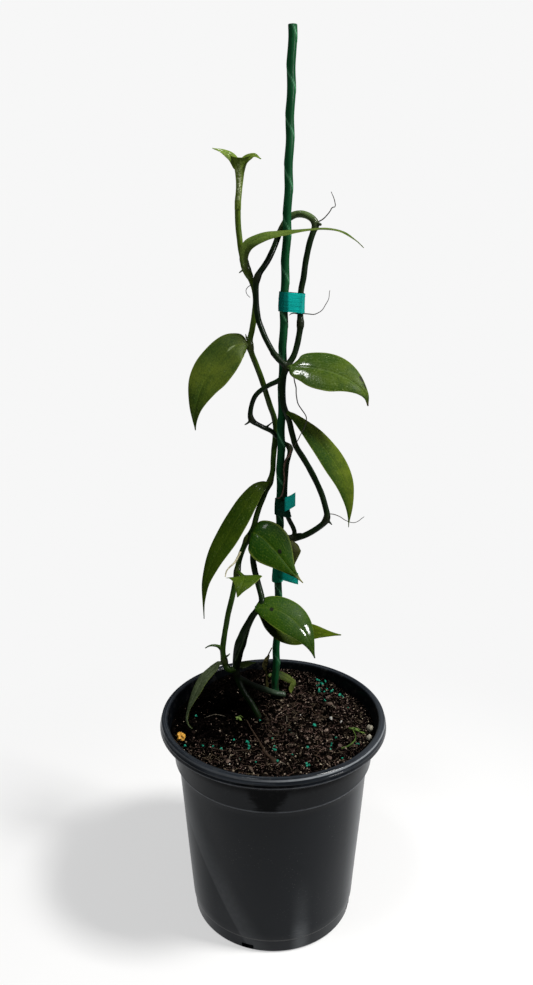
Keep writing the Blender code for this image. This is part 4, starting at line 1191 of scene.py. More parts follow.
    def beads(self, rng: random.Random) -> None:
        """Teal feed prills, one amber bead, perlite and two small stones."""
        spots = [(x + rng.uniform(-1.1, 1.1), y + rng.uniform(-1.4, 1.4), rng.uniform(0.5, 1.2))
                 for x, y in self.prills for _ in range(rng.randint(1, 2))]
        teal = MottledFinish("feed_prills", (0.001, 0.06, 0.035), (0.006, 0.30, 0.19), 900.0, 0.6,
                             0.3, coat=0.1)
        amber = MottledFinish("amber_bead", (0.10, 0.03, 0.002), (0.68, 0.36, 0.05), 900.0, 0.6,
                              0.5, coat=0.1)
        white = MottledFinish("perlite", (0.22, 0.21, 0.19), (0.6, 0.59, 0.55), 900.0, 0.9, 0.5)
        beige = MottledFinish("stones", (0.05, 0.045, 0.035), (0.30, 0.28, 0.22), 600.0, 0.7, 0.4)
        for finish, seeds, detail, wobble, places, flat, tones, degrees in (
                (teal, [i * 2.3 for i in range(5)], 2, 1.05, spots, 0.5, (), 80.0),
                (amber, (8.0,), 4, 0.55, (self.amber,), 0.8, (0.5,), 80.0),
                (white, (4.0,), 3, 0.7, self.perlite, 0.7, (), 60.0),
                (beige, (6.0,), 3, 0.35, self.stones, 0.7, (0.4, 0.7), 60.0)):
            poses = []
            for x, y, r in places:
                turn = [rng.uniform(0.0, 3.0) for _ in range(3)]
                size = (r, r * rng.uniform(flat, 1.0), r)
                poses.append(pose((x, y, self.crumbly(x, y) + 0.55 * r), turn, size))
            models = [pebble(seed, detail, wobble) for seed in seeds]
            shades = tones or [rng.random() for _ in places]
            piece = copies(finish.name, models, poses, shades)
            dress(piece, finish.material(), (), degrees)

    def litter(self, rng: random.Random) -> None:
        """Dead twigs, pale fibres and a green sprig with its leaflets."""
        brown = MottledFinish("dead_twig", (0.012, 0.007, 0.004), (0.05, 0.03, 0.017), 500.0, 0.8,
                              0.4, (1.0, 1.0, 0.4))
        pale = MottledFinish("pale_fibres", (0.04, 0.035, 0.025), (0.24, 0.20, 0.15), 600.0, 0.7, 0.1)
        green = MottledFinish("green_sprig", (0.02, 0.045, 0.006), (0.12, 0.18, 0.04), 420.0, 0.5,
                              0.1)
        twigs = [strand("twig", [(x, y, self.top(x, y) + 1.2) for x, y in points], 1.6,
                        radius * 0.6, radius * 1.3, 8, rough=0.35, seed=number * 2.0)
                 for number, (points, radius) in enumerate(self.twigs)]
        hairs = []
        for x, y, turn, reach in self.hairs:
            dx, dy, z = math.cos(turn) * reach, math.sin(turn) * reach, self.top(x, y) + 1.4
            points = ((x - dx, y - dy, z - 0.8), (x, y + 1.0, z + 0.8), (x + dx, y + dy, z - 0.6))
            hairs.append(strand("hair", points, 1.2, 0.3, 0.2, 5))
        bits = [strand("sprig", [(x, y, self.top(x, y) + z) for x, y, z in points], 1.2,
                       radius, radius * 0.5, 7, rough=0.3)
                for points, radius in self.sprigs]
        leaflets = []
        for x, y, z, turn in self.leaflets:
            tilt = (rng.uniform(-0.6, 0.6), rng.uniform(-0.5, 0.5), turn)
            leaflets.append(pose((x, y, self.top(x, y) + z), tilt, (1.8, 0.9, 0.3)))
        bits.append(copies("leaflets", [pebble(3.0, 2, 0.2)], leaflets, [0.8] * len(leaflets)))
        for name, parts, finish in (("dead_twigs", twigs, brown), ("pale_fibres", hairs, pale),
                                    ("green_sprig", bits, green)):
            dress(join(name, parts), finish.material())

    def build(self) -> None:
        """Lay the bed and all that lies on it."""
        rng = random.Random(7)
        self.bed()
        self.crumbs(rng)
        self.bark(rng)
        self.fibres(rng)
        self.beads(rng)
        self.litter(rng)


@dataclass
class Stake:
    """Steel stake under a wound plastic cover whose edge runs round it as a seam."""

    radius: float = 2.85
    wave: float = 0.3
    pitch: float = 29.0
    sides: int = 32
    step: float = 1.3
    ridge: float = 0.24
    seam_half: float = 0.028
    mouth: float = 0.25
    route: tuple[Point, ...] = (
        (-0.5, 51.0, 6.0), (2.0, 45.5, 151.0), (4.0, 41.5, 240.5), (5.5, 37.5, 357.5),
        (7.0, 33.5, 452.5), (9.0, 31.0, 516.0), (11.0, 27.0, 616.5))

    def axis(self, step: float = 2.0) -> list[Vector]:
        """Points on the stake's axis."""
        return smooth_route(self.route, step)

    def swing(self, height: float) -> Vector:
        """How far the cover is off the axis at a height."""
        turn = TAU * height / self.pitch
        return Vector((math.cos(turn), math.sin(turn), 0.0)) * self.wave

    def build(self) -> bpy.types.Object:
        """Wind the cover round the axis, with a stepped seam and a flat top."""
        axis = self.axis(self.step)
        foot, top = axis[0], axis[-1]
        sunk = top - Vector((0, 0, self.mouth))
        rows = [(foot, 0.0), (foot, 0.86), (foot, 0.97), *((p, 1.0) for p in axis[1:-1]),
                (top - Vector((0, 0, 0.3)), 1.0), (top, 0.97), (top, 0.80), (sunk, 0.72), (sunk, 0.0)]
        around = circle(self.sides)
        table = np.empty((len(rows), len(around), 3))
        seam = np.zeros(table.shape[:2])
        for row, (place, share) in enumerate(rows):
            swing = self.swing(place.z)
            drift = 3.0 * noise.noise(Vector((place.z / 35.0, 0.4, 7.0)))
            twist = -TAU * (place.z + drift) / self.pitch
            for i, (side, cos, sin) in enumerate(around):
                lap = ((side - twist) / TAU) % 1.0
                step = self.ridge * (1.0 - lap) ** 3
                wander = 0.1 * noise.noise(Vector((cos, sin, place.z / 9.0)))
                radius = (self.radius - 0.1 + step + wander) * share
                table[row, i] = place + swing * share + Vector((cos, sin, 0)) * radius
                seam[row, i] = math.exp(-(min(lap, 1.0 - lap) / self.seam_half) ** 2) * share
        table[:, :, 2] = np.minimum(table[:, :, 2], self.route[-1][2])
        stake = lay_grid("stake_wound", table, marks={"seam": seam})
        return dress(stake, StakeFinish().material(), ("stake",), 50.0)


class Held(Enum):
    """What a tie holds besides the stake."""

    OLD_STEM = "old"
    LOOP = "loop"
    NOTHING = "nothing"


@dataclass
class Tie:
    """A loop of flat tape, with its loose end where it has one.

    `stem` is the radius of the held stem. `tail` gives x, y and the lower and upper height of
    the loose end, at the loop and at its cut.
    """

    name: str
    low: float
    high: float
    slope: float
    held: Held
    finish: TapeFinish
    stem: float = 0.0
    tail: "tuple[Window, Window] | tuple[()]" = ()
    tail_bow: Span = (0.3, -1.1)
    tail_steps: int = 14
    thick: float = 0.45
    clearance: float = 0.3
    levels: int = 15
    loose: Span = (-0.5, -0.3)

    def outline(self, circles: Sequence[Point], count: int = 30) -> list[Vector]:
        """A belt's line round one or two circles, given as (x, y, radius)."""
        def arc(x: float, y: float, r: float, turns: Iterable[float]) -> list[Vector]:
            """Points on a circle at these angles."""
            return [Vector((x + r * math.cos(t), y + r * math.sin(t))) for t in turns]

        if len(circles) == 1:
            return arc(*circles[0], [TAU * i / (2 * count) for i in range(2 * count)])
        (ax, ay, ar), (bx, by, br) = circles
        gap = Vector((bx - ax, by - ay))
        heading = math.atan2(gap.y, gap.x)
        lean = math.acos((ar - br) / gap.length)
        steps = range(count + 1)
        return (arc(ax, ay, ar, [heading + lean + (TAU - 2 * lean) * i / count for i in steps])
                + arc(bx, by, br, [heading - lean + 2 * lean * i / count for i in steps]))

    def circles(self, z: float, stake: Stake, held: "list[Vector] | None") -> list[Point]:
        """The circles that the tape goes round at a height."""
        spot = point_at_height(stake.axis(), z) + stake.swing(z)
        reach = stake.radius + self.clearance
        if held is None:
            slack = math.hypot(*self.loose)
            return [(spot.x + self.loose[0], spot.y + self.loose[1], reach + slack)]
        near = [p for p in held if abs(p.z - z) < 14 and 0 < p.x - spot.x < 20]
        other = point_at_height(near, z)
        return [(spot.x, spot.y, reach), (other.x, other.y, self.stem + self.clearance)]

    def ribbon(self, lines: list[list[Vector]], heights: list[float],
               closed: bool) -> bpy.types.Object:
        """A thin creased ribbon whose inner side follows lines at several heights."""
        count = len(lines[0])
        around = count + 1 if closed else count
        inner = np.empty((around, self.levels, 3))
        outer = np.empty((around, self.levels, 3))
        base = lines[0][0].x
        for j, (line, z) in enumerate(zip(lines, heights)):
            for i in range(around):
                here, after, before = line[i % count], line[(i + 1) % count], line[i - 1]
                if not closed:
                    after, before = line[min(i + 1, count - 1)], line[max(i - 1, 0)]
                ahead = (after - before).normalized()
                normal = Vector((ahead.y, -ahead.x))
                height = z + self.slope * (here.x - base)
                crease = 0.13 * noise.noise(Vector((here.x * 0.16, here.y * 0.16, height * 1.15)))
                crease += 0.06 * noise.noise(Vector((here.x * 0.5, here.y * 0.5, height * 2.6)))
                wave = 0.3 * noise.noise(Vector((here.x * 0.35, here.y * 0.35, 3.0 + j // 8)))
                height += wave if j in (0, self.levels - 1) else wave * 0.8
                near = here + normal * (0.06 + crease)
                far = near + normal * self.thick
                inner[i, j] = (near.x, near.y, height)
                outer[i, j] = (far.x, far.y, height)
        table = np.concatenate([outer, inner[:, ::-1], outer[:, :1]], axis=1)
        if not closed:
            start = table[:1].mean(axis=1, keepdims=True).repeat(table.shape[1], axis=1)
            end = table[-1:].mean(axis=1, keepdims=True).repeat(table.shape[1], axis=1)
            mid_start, mid_end = (table[:1] + start) / 2, (table[-1:] + end) / 2
            table = np.concatenate([start, mid_start, table, mid_end, end], axis=0)
        return lay_grid(self.name, table)

    def loose_end(self, near: Window, far: Window) -> bpy.types.Object:
        """The bowed strip beyond the loop, which narrows or widens toward its cut."""
        (ax, ay, alow, ahigh), (bx, by, blow, bhigh) = near, far
        middle = Vector(((ax + bx) / 2 + self.tail_bow[0], (ay + by) / 2 + self.tail_bow[1]))
        shares = [i / self.tail_steps for i in range(self.tail_steps + 1)]
        line = [Vector((ax, ay)) * (1 - t) ** 2 + middle * 2 * t * (1 - t) + Vector((bx, by)) * t * t
                for t in shares]
        heights = [alow + (ahigh - alow) * (j / (self.levels - 1)) for j in range(self.levels)]
        tail = self.ribbon([line] * self.levels, heights, False)
        rise, middle_z = (blow + bhigh - alow - ahigh) / 2, (alow + ahigh) / 2
        for vert in tail.data.vertices:
            t = clamp((vert.co.x / MM - ax) / (bx - ax))
            grow = 1.0 + t * ((bhigh - blow) / (ahigh - alow) - 1.0)
            vert.co.z = (middle_z + (vert.co.z / MM - middle_z) * grow + rise * t) * MM
        return tail

    def build(self, stake: Stake, routes: dict[Held, list[Vector]]) -> None:
        """Lay the tape round the stake and the stem that it holds."""
        heights = [self.low + (self.high - self.low) * j / (self.levels - 1)
                   for j in range(self.levels)]
        held = routes.get(self.held)
        lines = [self.outline(self.circles(z, stake, held)) for z in heights]
        parts = [self.ribbon(lines, heights, True)]
        if self.tail:
            parts.append(self.loose_end(*self.tail))
        tie = join(self.name + "_tape", parts)
        dress(tie, self.finish.material(), (self.name,), 50.0)


@dataclass
class Limb:
    """One length of stem with its swollen nodes."""

    route: tuple[Point, ...]
    first: float
    last: float
    nodes: tuple[Point, ...] = ()
    swell: float = 0.55
    reach: float = 3.0
    ring: float = 0.22
    thick_at: "Point | None" = None
    thick_gain: float = 1.9
    thick_reach: float = 17.0

    def build(self, name: str, sides: int = 18, step: float = 1.5) -> bpy.types.Object:
        """The limb as a rough tube."""
        route = smooth_route(self.route, step)
        radii = []
        for place, radius in zip(route, taper(route, self.first, self.last)):
            for node in self.nodes:
                off = (place - Vector(node)).length
                radius += self.swell * math.exp(-(off / self.reach) ** 2)
                radius += self.ring * math.exp(-((off - 1.6) / 0.55) ** 2)
            if self.thick_at is not None:
                off = (place - Vector(self.thick_at)).length / self.thick_reach
                radius += self.thick_gain * math.exp(-off * off)
            radii.append(radius)
        return sweep(name, route, radii, sides, 0.5, 0.10, len(route) * 0.37)


Twig = tuple[float, float, tuple[Point, ...]]


@dataclass
class Stem:
    """A stem grown together from its limbs and stubs, with thin air roots on it."""

    name: str
    node: str
    limbs: tuple[Limb, ...]
    stubs: tuple[Twig, ...]
    roots: tuple[Twig, ...]
    finish: StemFinish
    slot: Slot
    voxel: float = 0.5
    scar_reach: float = 4.0
    crease: tuple[Span, ...] = ()
    crease_half: float = 0.5
    crease_back: float = 14.0

    def build(self) -> None:
        """Join the limbs and stubs, fuse them into one skin and add the air roots."""
        tubes = [limb.build("limb") for limb in self.limbs]
        tubes += [strand("stub", points, 1.0, first, last, 12, 0.9, 0.2)
                  for first, last, points in self.stubs]
        body = join(self.name, tubes)
        apply(body, "REMESH", mode="VOXEL", voxel_size=self.voxel * MM)
        apply(body, "SMOOTH", factor=0.5, iterations=5)
        body.data.materials.clear()
        body.data.materials.append(self.finish.material())
        self.mark_skin(body)
        parts = [body]
        if self.roots:
            skin = MottledFinish(self.name + "_roots", (0.02, 0.018, 0.014), (0.11, 0.10, 0.08),
                                 700.0, 0.7, 0.1).material()
            for number, (first, last, points) in enumerate(self.roots):
                route = self.wandering(smooth_route(points, 1.3), number)
                root = sweep("root", route, taper(route, first, last), 8, 0.9, 0.25, number)
                root.data.materials.append(skin)
                parts.append(root)
        stem = join(self.name, parts)
        dress(stem, self.finish.material(), (self.node,), 60.0)

    def mark_skin(self, body: bpy.types.Object) -> None:
        """Store where the nodes' scars lie, and the crease line that is painted pale as a painted
        highlight.
        """
        co = np.empty(len(body.data.vertices) * 3, dtype=np.float32)
        body.data.vertices.foreach_get("co", co)
        co = co.reshape(-1, 3)
        near, line = np.zeros(len(co)), np.zeros(len(co))
        for scar in (Vector(p) * MM for limb in self.limbs for p in limb.nodes):
            off = np.linalg.norm(co - np.array(scar), axis=1) / (self.scar_reach * MM)
            near = np.maximum(near, np.exp(-off ** 4))
        for (x0, z0), (x1, z1) in zip(self.crease, self.crease[1:]):
            start, along = np.array((x0, z0)) * MM, np.array((x1 - x0, z1 - z0)) * MM
            flat = co[:, (0, 2)] - start
            share = np.clip(flat @ along / (along @ along), 0.0, 1.0)[:, None]
            off = np.linalg.norm(flat - share * along, axis=1) / (self.crease_half * MM)
            line = np.maximum(line, np.exp(-off ** 2) * (co[:, 1] < self.crease_back * MM))
        store(body, "node", near)
        store(body, "crease", line)

    def wandering(self, route: list[Vector], seed: int) -> list[Vector]:
        """A root's route with small natural kinks, and its first points kept."""
        moved = []
        for i, place in enumerate(route):
            hold = min(i / 6.0, 1.0)
            push = Vector(noise.noise_vector(Vector((i * 0.21, seed * 3.3, 0.5))))
            moved.append(place + push * 0.55 * hold)
        return moved


@dataclass
class Blade:
    """A leaf on its midrib, with the petiole that joins it to the stem."""

    name: str
    seat: Point
    stem: float
    half: float
    widest: float
    face: tuple[Point, ...]
    midrib: tuple[Point, ...]
    power: float = 0.75
    thick: float = 1.0
    petiole: float = 1.75
    petiole_reach: float = 6.0
    fold: float = 0.10
    cup: float = 0.15
    wave: float = 0.5
    groove: float = 0.24
    base: float = 1.5
    tip: float = 0.45
    point: float = 1.5
    outline: tuple[Span, ...] = ()
    rows: int = 72
    spread: tuple[float, ...] = (0.0, 0.022, 0.06, 0.12, 0.2, 0.3, 0.41, 0.53, 0.64, 0.745,
                                 0.835, 0.905, 0.955, 0.985, 1.0)

    def half_width(self, t: float) -> float:
        """Half width at a share of the blade's length."""
        if self.outline:
            places, shares = zip(*self.outline)
            return self.half * float(np.interp(t, places, shares))
        body = t ** (math.log(0.5) / math.log(self.widest))
        power = self.power if body < 0.5 else self.point
        bulge = abs(math.sin(math.pi * body)) ** power
        return self.half * bulge + self.base * (1 - t) ** 2 + self.tip * t

    def rib(self) -> tuple[list[Vector], Vector]:
        """The midrib's route, and the point inside the stem where the petiole starts."""
        seat = Vector(self.seat)
        toward = (Vector(self.midrib[0]) - seat).normalized()
        first = seat + toward * (self.stem + 0.65)
        root = seat + toward * max(self.stem - 1.6, 0.2)
        return smooth_route((first, *self.midrib), 0.5), root

    def length(self) -> float:
        """Length of the midrib."""
        rib = self.rib()[0]
        return sum((b - a).length for a, b in zip(rib, rib[1:]))

    def frame_at(self, rib: list[Vector], t: float) -> tuple[Vector, Vector, Vector]:
        """Place, direction across and face of the blade at a share of its length."""
        def spot(share: float) -> Vector:
            """A point of the midrib."""
            x = clamp(share) * (len(rib) - 1)
            k = min(int(x), len(rib) - 2)
            return rib[k].lerp(rib[k + 1], x - k)

        ahead = (spot(t + 0.05) - spot(t - 0.05)).normalized()
        faces = [Vector(f).normalized() for f in self.face]
        k = min(int(t * (len(faces) - 1)), len(faces) - 2)
        toward = faces[k].lerp(faces[k + 1], t * (len(faces) - 1) - k)
        across = ahead.cross(toward).normalized()
        return spot(t), across, across.cross(ahead)

    def build(self) -> bpy.types.Object:
        """Roll a grid into the closed blade: its upper side from edge to edge, then its lower."""
        rib, root = self.rib()
        total = self.length()
        first, across0, face0 = self.frame_at(rib, 0.0)
        stations = [(root, across0, face0, 0.0, 0.0, 0.02)]
        stalk = (first - root).length
        for share in (k / 6 for k in range(6)):
            stations.append((root.lerp(first, share), across0, face0, 0.0, stalk * share, 1.0))
        for t in (k / (self.rows - 1) for k in range(self.rows)):
            stations.append((*self.frame_at(rib, t), t, stalk + t * total, 1.0))
        place, across, face = self.frame_at(rib, 1.0)
        ahead = face.cross(across)
        stations.append((place + ahead * 0.3, across, face, 1.0, stalk + total, 0.02))
        upper = [-a for a in reversed(self.spread)] + list(self.spread[1:])
        ring = [(a, 1.0) for a in upper] + [(a, -1.0) for a in reversed(upper[:-1])]
        table = np.empty((len(stations), len(ring), 3))
        uv = np.empty((len(stations), len(ring), 2))
        under = np.empty((len(stations), len(ring)))
        seed = self.midrib[-1][0] * 0.37
        for row, (place, across, face, t, gone, share) in enumerate(stations):
            stalky = math.exp(-(gone / self.petiole_reach) ** 2)
            width = max(self.half_width(t), self.petiole * stalky)
            thick = self.thick * (1.0 - 0.45 * t) + (2 * self.petiole - 1.2) * stalky
            for column, (a, side) in enumerate(ring):
                out = abs(a)
                bend = self.fold * (math.sqrt(a * a + 0.0025) - 0.05) - self.cup * a * a
                body = max(1.0 - out ** 2.4, 0.0) ** 0.5
                dent = math.exp(-(a * width / 0.75) ** 2) * (1.0 - stalky) * min(1.0, (1 - t) * 8)
                lift = side * thick / 2 * body - dent * self.groove * (1.0 if side > 0 else 1.25)
                push = noise.noise(Vector((seed + (2.0 if a > 0 else 0.0), gone * 0.075, 0.6 * a)))
                curl = self.wave * push * (0.25 + out) * (1 - stalky)
                rise = width * (bend * (1 - stalky)) + curl + lift
                table[row, column] = place + (across * (width * a) + face * rise) * share
                uv[row, column] = ((a + 1) / 2, t)
                under[row, column] = 0.0 if side > 0 and out < 0.999 else 1.0
        return lay_grid(self.name + "_blade", table, uv, {"under": under})


def dress_leaves(leaves: Iterable[tuple[Blade, dict]]) -> None:
    """Make every grown leaf, each with its own finish."""
    for number, (blade, look) in enumerate(leaves):
        look = dict(look)
        slot = look.pop("slot", Slot.LEAF)
        finish = LeafFinish(blade.name + "_skin", (blade.half, blade.length()),
                            seed=number * 0.173, **look)
        dress(blade.build(), finish.material(), (blade.name,), 60.0)


@dataclass
class Shoot:
    """The newest growth: two narrow leaves that hold each other, and the long arching leaf.

    Each row of `cup` is x, y, height, half width, half depth and flare.
    """

    cup: tuple[tuple[float, ...], ...] = (
        (-23.4, 29.3, 509.0, 0.02, 0.02, 0.0), (-23.4, 29.2, 510.0, 2.1, 2.1, 0.0),
        (-23.3, 28.8, 515.0, 2.15, 2.15, 0.0), (-22.8, 28.3, 519.0, 2.1, 2.0, 0.0),
        (-22.4, 28.0, 523.0, 2.15, 2.0, 0.0), (-22.1, 27.7, 527.0, 2.35, 2.0, 0.0),
        (-22.0, 27.4, 532.0, 2.9, 2.2, 0.0), (-21.8, 27.2, 535.8, 3.8, 2.6, 0.3),
        (-21.6, 27.0, 538.3, 5.0, 3.0, 0.8), (-21.5, 26.8, 539.8, 6.4, 3.3, 1.5),
        (-21.4, 26.6, 540.7, 7.8, 3.5, 2.2), (-21.4, 26.6, 540.9, 7.5, 3.2, 2.2),
        (-21.5, 26.9, 539.9, 5.6, 2.7, 1.4), (-21.7, 27.1, 537.8, 3.6, 2.0, 0.7),
        (-21.9, 27.3, 534.8, 1.9, 1.3, 0.2), (-22.0, 27.4, 532.3, 0.8, 0.6, 0.0),
        (-22.0, 27.4, 531.3, 0.02, 0.02, 0.0))
    cup_sides: int = 40

    sleeve: tuple[Point, ...] = (
        (-15.6, 33.5, 467.2), (-17.2, 33.0, 470.6), (-18.8, 32.2, 474.5), (-20.0, 31.2, 479.5),
        (-20.6, 30.2, 484.0))
    sleeve_radii: tuple[float, ...] = (2.2, 2.9, 3.1, 2.7, 1.6)

    def sheath(self) -> bpy.types.Object:
        """The arching leaf's sleeve of leaf base round the stem."""
        route, radii = smooth_route(self.sleeve, 0.8), self.sleeve_radii
        spread = [radii[0]]
        for i in range(1, len(route)):
            x = i / (len(route) - 1) * (len(radii) - 1)
            k = min(int(x), len(radii) - 2)
            spread.append(radii[k] + (radii[k + 1] - radii[k]) * (x - k))
        return sweep("sleeve", route, spread, 28, 0.5, 0.12, 4.0)

    def funnel(self) -> bpy.types.Object:
        """The two leaf bases rolled into one open funnel, higher at its left and right."""
        around = circle(self.cup_sides)
        table = np.empty((len(self.cup), len(around), 3))
        wax = np.zeros(table.shape[:2])
        for row, (x, y, z, wide, deep, flare) in enumerate(self.cup):
            # painted highlight: where the pale streak runs down the neck's front
            glint = math.exp(-((z - 521.5) / 4.0) ** 2) + 0.45 * math.exp(-((z - 529.0) / 6.0) ** 2)
            for i, (turn, cos, sin) in enumerate(around):
                ruffle = 1.0 + 0.09 * noise.noise(Vector((cos * 1.5, sin * 1.5, z * 0.12)))
                table[row, i] = (x + wide * cos * ruffle, y + deep * sin * ruffle,
                                 z + flare * cos ** 2)
                off = math.remainder(turn - math.radians(278.0 - (z - 520.0) * 1.6), TAU)
                wax[row, i] = glint * math.exp(-(off / 0.5) ** 2) * (row < 10)
        return lay_grid("funnel", table, marks={"wax": wax})

    def build(self, pair: Sequence[Blade], arching: Blade) -> None:
        """Make the funnel with its two leaves, and the arching leaf with its sheath."""
        skin = LeafFinish("young_skin", (3.6, 34.0), deep=(0.045, 0.085, 0.008),
                          fresh=(0.13, 0.19, 0.022), vein=(0.20, 0.27, 0.05),
                          under=(0.10, 0.155, 0.022), tint=0.7, specks=0.1, gloss=0.34, coat=0.12)
        parts = [self.funnel(), *(blade.build() for blade in pair)]
        dress(join("shoot_leaves", parts), skin.material(), ("leaves_youngest",), 60.0)
        skin = LeafFinish("arching_skin", (arching.half, arching.length()),
                          deep=(0.040, 0.074, 0.010), fresh=(0.105, 0.145, 0.024),
                          vein=(0.16, 0.22, 0.04), under=(0.085, 0.135, 0.015), tint=0.6,
                          specks=0.15, gloss=0.32, coat=0.2)
        parts = [arching.build(), self.sheath()]
        dress(join("leaf_arching_blade", parts), skin.material(), ("leaf_arching",), 60.0)


@dataclass
class Studio:
    """Pale floor and surround, soft lights and the camera at the portrait's angle."""

    eye: Point = (-4.855, -544.3, 493.5)
    pitch: float = 0.2951
    focal_pixels: float = 842.8
    frame_pixels: tuple[int, int] = (533, 985)
    sensor: float = 36.0
    pale: Colour = (0.93, 0.93, 0.93)
    near: float = 0.46

    def camera(self) -> None:
        """Put the camera at the portrait's place."""
        data = bpy.data.cameras.new("portrait")
        data.sensor_fit = "HORIZONTAL"
        data.sensor_width = self.sensor
        data.lens = self.focal_pixels / self.frame_pixels[0] * self.sensor
        data.clip_start = 0.01
        data.clip_end = 40.0
        cam = bpy.data.objects.new("portrait", data)
        cam.location = [c * MM for c in self.eye]
        cam.rotation_euler = (math.pi / 2 - self.pitch, 0.0, 0.0)
        bpy.context.scene.collection.objects.link(cam)
        bpy.context.scene.camera = cam

    def lamp(self, name: str, place: Point, aim: Point, size: Span, power: float,
             tint: Colour = (1.0, 1.0, 1.0), glints: bool = True, fills: bool = True) -> None:
        """Add one soft rectangular lamp, in metres, that may make glints, fill shadows or both."""
        data = bpy.data.lights.new(name, "AREA")
        data.shape = "RECTANGLE"
        data.size, data.size_y = size
        data.energy = power
        data.color = tint
        obj = bpy.data.objects.new(name, data)
        obj.location = place
        obj.visible_glossy = glints
        obj.visible_diffuse = fills
        look = Vector(aim) - Vector(place)
        obj.rotation_euler = look.to_track_quat("-Z", "Y").to_euler()
        bpy.context.scene.collection.objects.link(obj)

    def stage(self) -> None:
        """Lay the floor and put a plain pale surround behind everything."""
        paint = Paint("studio_paper")
        radius = paint.node("ShaderNodeVectorMath", {"operation": "LENGTH"}, {0: paint.place()},
                            output=1)
        grain = paint.clouds(paint.place(), 3.0, 2.0)
        colour = paint.mix(grain * 0.3, (0.80, 0.80, 0.80), (0.77, 0.77, 0.77))
        paint.finish(colour, 0.9, None, Specular_IOR_Level=0.0)
        paint.surface(paint.node("ShaderNodeMixShader", {}, {
            0: radius.ease(0.14, self.near * 0.95) * 0.45 + 0.55,
            1: Sock(paint, paint.shader.outputs[0]), 2: paint.glow(self.pale)}))
        floors = []
        for name, reach, drop in (("studio_floor", 5.9, -0.0006), ("studio_mat", self.near, -0.0002)):
            deselect()
            bpy.ops.mesh.primitive_circle_add(vertices=96, radius=reach, fill_type="NGON",
                                              location=(0.0, 0.0, drop))
            floors.append(name_it(bpy.context.object, name))
            floors[-1].data.materials.append(paint.material)
        floors[0].visible_glossy = False
        floors[0].visible_diffuse = False
        deselect()
        bpy.ops.mesh.primitive_uv_sphere_add(segments=48, ring_count=24, radius=6.0)
        round_wall = name_it(bpy.context.object, "studio_surround")
        paint = Paint("surround_paper")
        round_wall.data.materials.append(paint.surface(paint.glow(self.pale)))
        for ray in ("visible_diffuse", "visible_glossy", "visible_transmission", "visible_shadow"):
            setattr(round_wall, ray, False)

    def build(self) -> None:
        """Set up the whole studio."""
        self.camera()
        self.stage()
        self.lamp("key", (0.89, -0.29, 1.6), (0.0, 0.0, 0.28), (0.3, 0.3), 44.0,
                  (1.0, 0.99, 0.97))
        self.lamp("top_spark", (-0.35, -0.44, 1.79), (0.0, 0.0, 0.4), (0.26, 0.26), 7.0)
        self.lamp("side_spark", (1.20, -0.69, 0.77), (0.0, 0.0, 0.2), (0.30, 0.30), 16.0,
                  fills=False)
        self.lamp("left_fill", (-0.9, -0.9, 0.8), (0.0, 0.0, 0.25), (0.8, 0.8), 1.6, glints=False)
        world = bpy.data.worlds.new("studio_air")
        world.use_nodes = True
        back = world.node_tree.nodes["Background"]
        back.inputs["Color"].default_value = (0.95, 0.98, 1.0, 1.0)
        back.inputs["Strength"].default_value = 0.10
        bpy.context.scene.world = world
        bpy.context.scene.view_settings.view_transform = "Standard"


# The plant's own routes

CROSSING = (9.0, 29.3, 408.5)
LOWER_NODE = (14.5, 35.0, 282.5)
YOUNG_ROUTE = (
    (-31.6, 12.5, 187.0), (-34.0, 13.2, 188.6), (-35.9, 13.8, 194.0), (-36.9, 14.2, 203.0),
    (-35.5, 14.5, 214.8), (-32.8, 15.0, 230.6), (-29.2, 17.0, 246.0), (-26.0, 21.0, 261.9),
    (-24.0, 25.0, 271.5), (-19.0, 29.0, 283.5), (-14.5, 32.0, 291.5), (-11.5, 34.5, 302.0),
    (-6.0, 38.0, 316.0), (-2.5, 40.5, 323.5), (-0.4, 41.6, 332.0), (0.2, 44.3, 342.5),
    (1.2, 46.2, 353.0), (1.8, 47.3, 360.5), (0.8, 46.3, 369.0), (-3.0, 43.0, 381.0),
    (-8.0, 38.5, 398.0), (-11.9, 36.0, 408.8), (-15.3, 33.5, 418.2), (-16.2, 33.0, 425.0),
    (-14.4, 33.0, 434.0), (-13.1, 33.5, 441.7), (-12.2, 34.0, 450.5), (-12.5, 34.0, 458.1),
    (-14.1, 33.8, 463.5), (-16.8, 33.5, 469.2), (-19.5, 33.0, 475.7), (-21.4, 32.0, 483.3),
    (-22.4, 31.3, 491.2), (-23.3, 30.5, 500.5), (-23.4, 29.5, 508.5), (-23.3, 28.8, 515.5))
YOUNG_FOOT = ((-36.0, 14.0, 195.0), (-34.4, 13.4, 189.5), (-31.6, 13.2, 187.2), (-28.4, 14.2, 187.4))
